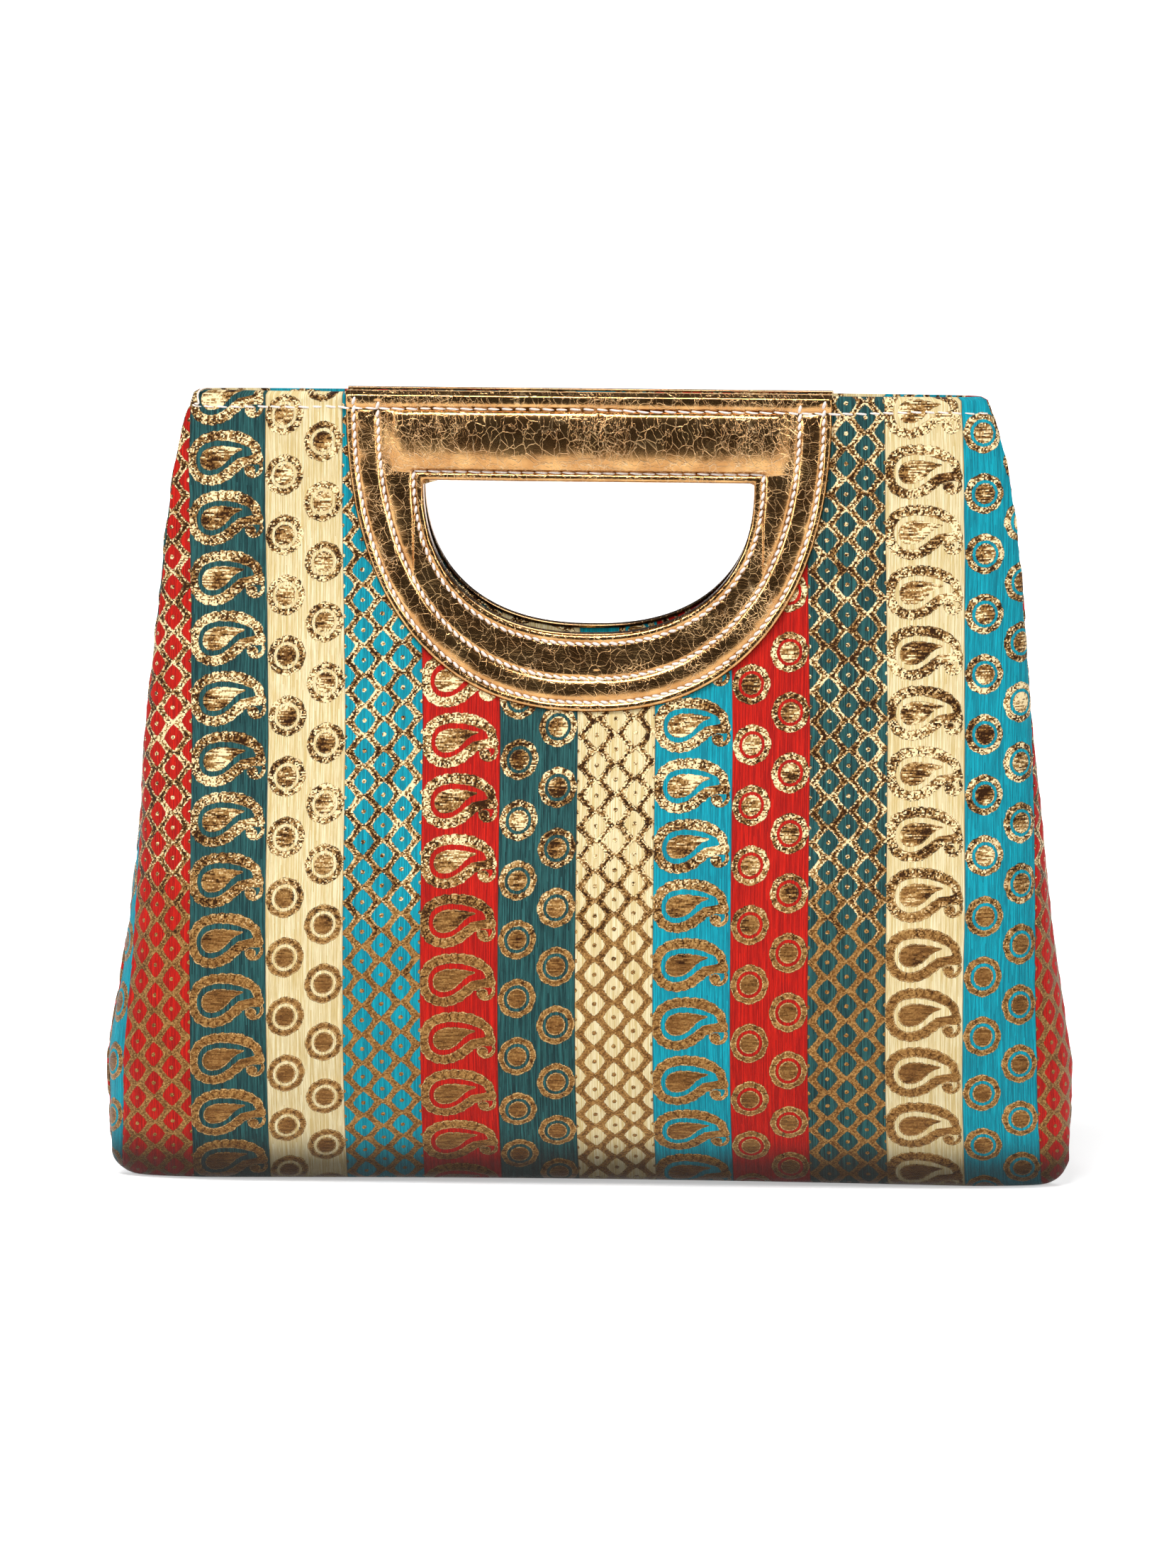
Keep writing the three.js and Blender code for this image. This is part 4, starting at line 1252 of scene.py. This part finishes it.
def brocade_material():
    """Silk ground in long upright threads, with motifs in flat metal thread."""
    material, m, shader = new_material("brocade")
    across, down = cloth_places(m)
    ragged = noise_node(m, (across * 2.2, down * 2.2, 0.0), detail=0.0) - 0.5
    gold, colour, motif, puff, beads, place = woven_pattern(m, across, down)
    gold = gold + ragged * 0.45
    mask = range_of(m, gold, -0.07, 0.07)
    stripe = m.floor((across - STRIPE_START) / STRIPE)
    ground, between = silk_ground(m, across, down, stripe, colour)
    metal, speckle = metal_thread(m, across, down, stripe, gold, motif, puff, beads)

    groove = range_of(m, m.minimum(place, STRIPE - place), 0.0, 0.35, 0.6, 0.0)
    cloth = mix_colour(m, mask, mix_colour(m, groove, ground, GROOVE_COLOUR), metal)
    # Painted shade: the cloth is painted darker over the last 20 mm of the front and on round the base,
    # where the belly turns under.
    painted_base_shade = range_of(m, down, FRONT_LENGTH - 22.0, FRONT_LENGTH - 2.0, 0.0, 0.85)
    upright = noise_node(m, (across * 3.1, down * 0.22, 0.0), roughness=0.6)
    grain = noise_node(m, (across * 2.3, down * 2.6, 5.0), roughness=0.6)
    ground_normal = bump(m, upright - between * 0.35, 0.00050, 0.8)
    fill(m, shader, {
        "Base Color": mix_colour(m, painted_base_shade, cloth, BASE_SHADE_COLOUR),
        "Normal": mix_vector(m, mask, ground_normal, bump(m, grain, 0.00055, 1.0)),
        "Metallic": mask * 0.85,
        "Roughness": 0.55 - mask * 0.20 + (speckle - 0.5) * 0.12,
        "Specular IOR Level": 0.18,
    })
    return material


LEATHER_TONES = (0.47, 0.232, 0.080), (0.66, 0.375, 0.145)
CRACK_COLOUR = (0.95, 0.72, 0.44)


def leather_material():
    """Metal foil on thin leather, cracked where it has been bent."""
    material, m, shader = new_material("gold_leather")
    across, down = cloth_places(m)
    place = vector_of(m, (across, down, 0.0))
    wander = (noise_node(m, place, scale=0.22, detail=3.0) - 0.5) * 4.0
    x, y = across + wander, down + wander
    side = m.absolute(across)
    bar = range_of(m, down, 25.0, 29.0, 1.0, 0.0) * range_of(m, side, 69.0, 73.0, 1.0, 0.0)
    off_bar = 1.0 - bar
    busy = m.maximum(range_of(m, side, 30.0, 60.0), near(m, across - 4.0, 14.0, flat=3.0))
    low = range_of(m, down, 18.0, 24.0)
    upright = near(m, noise_node(m, (x * 0.50, y * 0.10, 0.0), detail=3.0) - 0.5, 0.005)
    longer = near(m, noise_node(m, (x * 0.20, y * 0.10, 3.0), detail=4.0) - 0.5, 0.004)
    level = near(m, noise_node(m, (x * 0.12, y * 0.70, 6.0), detail=1.0) - 0.5, 0.014)
    net = near(m, crack_node(m, (x * 0.30, y * 0.20, 9.0)), 0.030)
    fine = near(m, crack_node(m, (x * 0.62, y * 0.50, 12.0)), 0.045)
    patchy = range_of(m, noise_node(m, place, scale=0.06), 0.50, 0.64)
    on_bar = (upright + fine * 0.6) * busy * 0.6 + longer * 0.4 + net * 0.55 + level * low * 0.6
    elsewhere = net * 0.5 + fine * patchy * 0.6 + level * 0.15
    crease = m.node("ADD", on_bar * bar, elsewhere * off_bar, clamp=True)
    grain = noise_node(m, place, scale=2.0, detail=3.0, roughness=0.65)
    rubbed = range_of(m, noise_node(m, place, scale=0.10, detail=3.0), 0.35, 0.7)
    ridges = bump(m, crease, 0.00009, 0.65)
    fill(m, shader, {
        "Base Color": mix_colour(m, crease * 0.6, mix_colour(m, rubbed, *LEATHER_TONES), CRACK_COLOUR),
        "Metallic": 1.0 - crease * 0.3,
        "Roughness": 0.165 + grain * 0.065 + crease * 0.09,
        "Normal": bump(m, grain, 0.00003, 0.5, ridges),
    })
    return material


def satin_material():
    material, m, shader = new_material("lining_satin")
    across, down = cloth_places(m)
    threads = noise_node(m, (across * 3.5, down * 0.4, 0.0))
    broad = noise_node(m, (across * 0.05, down * 0.05, 2.0))
    tones = [(0.3, (0.36, 0.24, 0.10)), (0.7, (0.56, 0.40, 0.19))]
    fill(m, shader, {
        "Base Color": ramp(m, threads * 0.5 + broad * 0.5, tones),
        "Roughness": 0.42,
        "Sheen Weight": 0.25,
        "Normal": bump(m, threads, 0.0002, 0.5),
    })
    return material


def grained_material(name, grain, tones, relief, roughness, gain=0.0, others=()):
    """A surface in two close tones of a fine grain, which can make it rougher too."""
    material, m, shader = new_material(name)
    grain = noise_node(m, object_places(m), **grain)
    fill(m, shader, {
        "Base Color": ramp(m, grain, tones),
        "Normal": bump(m, grain, *relief),
        "Roughness": roughness + grain * gain if gain else roughness,
        **dict(others),
    })
    return material


def hidden_material(name, dark, light, scale, roughness):
    """Board or wadding: a fibrous surface."""
    fibre = {"scale": scale, "detail": 5.0, "roughness": 0.65}
    return grained_material(name, fibre, [(0.35, dark), (0.65, light)], (0.0003, 0.5), roughness)


def wear(piece, material):
    piece.data.materials.clear()
    piece.data.materials.append(material)


def wear_node(node, material):
    """Gives a CAD node a material without touching its mesh."""
    slots = frame["nodes"][node].material_slots
    for slot in slots:
        slot.material = material


# Studio

CAMERA_ELEVATION = 10.0
CAMERA_DISTANCE = 9.0
CAMERA_TURN = 3.6
MM_PER_PIXEL = 0.238
FRAME_PIXELS = 1659
AIM = Vector((-0.6, 0.0, 134.9)) * MM

FLOOR_SIDE, FLOOR_NEAR, FLOOR_FAR, FLOOR_LEVEL = 3000.0, -880.0, 3400.0, -0.1
FLOOR_GLOW = 0.45
LIGHT_AIM = (0, 0, 0.14)
SOFTBOXES = {
    "overhead_softbox": ((-0.35, -0.85, 1.75), (1.2, 0.45), 32.0),
    "right_strip": ((1.45, -0.95, 0.75), (0.36, 1.1), 15.0),
    "left_strip": ((-1.5, -0.85, 0.80), (0.36, 1.1), 14.0),
    "back_softbox": ((0.3, 1.2, 1.5), (1.2, 0.8), 12.0),
}


def make_camera():
    data = bpy.data.cameras.new("camera")
    data.sensor_fit = "HORIZONTAL"
    data.sensor_width = 36.0
    data.lens = data.sensor_width * CAMERA_DISTANCE / (FRAME_PIXELS * MM_PER_PIXEL * MM)
    data.clip_end = 50.0
    camera = bpy.data.objects.new("camera", data)
    bpy.context.collection.objects.link(camera)
    rise, turn = math.radians(CAMERA_ELEVATION), math.radians(CAMERA_TURN)
    away = Vector((math.sin(turn) * math.cos(rise), -math.cos(turn) * math.cos(rise), math.sin(rise)))
    camera.location = AIM + away * CAMERA_DISTANCE
    camera.rotation_euler = (-away).to_track_quat("-Z", "Y").to_euler()
    bpy.context.scene.camera = camera


def area_light(name, place, aim, size, power):
    data = bpy.data.lights.new(name, "AREA")
    data.shape = "RECTANGLE"
    data.size, data.size_y = size
    data.energy = power
    light = bpy.data.objects.new(name, data)
    light.location = place
    light.rotation_euler = (Vector(aim) - Vector(place)).to_track_quat("-Z", "Y").to_euler()
    bpy.context.collection.objects.link(light)


def stage_material():
    """White to the camera and to shiny things, an ordinary pale surface to the light."""
    material, m, shader = new_material("studio_paper")
    place = object_places(m)
    tone = noise_node(m, place, scale=3.0, detail=3.0)
    path = m.tree.nodes.new("ShaderNodeLightPath")
    names = ("Is Camera Ray", "Is Glossy Ray", "Is Transmission Ray")
    camera, glossy, through = (Signal(m, path.outputs[name]) for name in names)
    back = Signal(m, node_of(m, "ShaderNodeSeparateXYZ", {"Vector": place}).outputs["Y"])
    glow = range_of(m, back, 0.15, 0.9, FLOOR_GLOW, 1.0)
    fill(m, shader, {
        "Base Color": ramp(m, tone, [(0.3, (0.86, 0.86, 0.86)), (0.7, (0.90, 0.90, 0.90))]),
        "Roughness": 0.9,
        "Emission Color": (1, 1, 1, 1),
        "Emission Strength": m.maximum(m.maximum(camera, glossy), through) * glow,
    })
    return material


def make_stage():
    """A flat floor, longer behind the bag, so that it is the background too."""
    rows = ((FLOOR_NEAR, (-FLOOR_SIDE, FLOOR_SIDE)), (FLOOR_FAR, (FLOOR_SIDE, -FLOOR_SIDE)))
    points = [(x, y, FLOOR_LEVEL) for y, ends in rows for x in ends]
    made = mesh_object("studio_floor", points, [(0, 1, 2, 3)], sharp=80)
    wear(made, stage_material())


def make_light():
    world = bpy.data.worlds.new("studio")
    bpy.context.scene.world = world
    world.use_nodes = True
    background = world.node_tree.nodes["Background"]
    background.inputs["Color"].default_value = (0.85, 0.90, 1.0, 1)
    background.inputs["Strength"].default_value = 0.05
    for name, (place, size, power) in SOFTBOXES.items():
        area_light(name, place, LIGHT_AIM, size, power)


# Build

make_camera()
make_stage()
make_light()

BROCADE = brocade_material()
GOLD_LEATHER = leather_material()
THREAD_LOOK = grained_material(
    "sewing_thread", {"scale": 3200.0}, [(0.3, (0.66, 0.54, 0.47)), (0.62, (0.98, 0.90, 0.84))],
    (0.0001, 0.6), 0.5, others={"Sheen Weight": 0.2},
)
SATIN = satin_material()
PLATING = grained_material(
    "snap_plating", {"scale": 900.0, "detail": 3.0}, [(0.3, (0.60, 0.44, 0.18)), (0.7, (0.82, 0.64, 0.32))],
    (0.00004, 0.4), 0.22, gain=0.18, others={"Metallic": 1.0},
)
BOARD_LOOK = hidden_material("bag_board", (0.32, 0.30, 0.27), (0.42, 0.40, 0.37), 700.0, 0.9)
WADDING_LOOK = hidden_material("wadding", (0.74, 0.72, 0.66), (0.86, 0.84, 0.79), 500.0, 0.95)

pieces = []
for side in ("front", "back"):
    for make, look in (
        (make_panel, BROCADE),
        (make_facing, BROCADE),
        (make_lining, SATIN),
        (make_patch, GOLD_LEATHER),
        (make_stitches, THREAD_LOOK),
    ):
        made = make(side)
        wear(made, look)
        pieces.append(made)
    wear_node(f"{side}_stiffener", BOARD_LOOK)
    wear_node(f"{side}_grip_padding", WADDING_LOOK)
wear_node("base_board", BOARD_LOOK)

loose = make_loose_thread()
wear(loose, THREAD_LOOK)
pieces.append(loose)
for name, node, profile in (
    ("snap_socket_turned", "snap_socket", SOCKET_PROFILE),
    ("snap_stud_turned", "snap_stud", STUD_PROFILE),
):
    made = lathed(name, node, profile)
    wear(made, PLATING)
    pieces.append(made)

for piece in pieces:
    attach(piece, "root")

bpy.context.scene.view_settings.view_transform = "Standard"
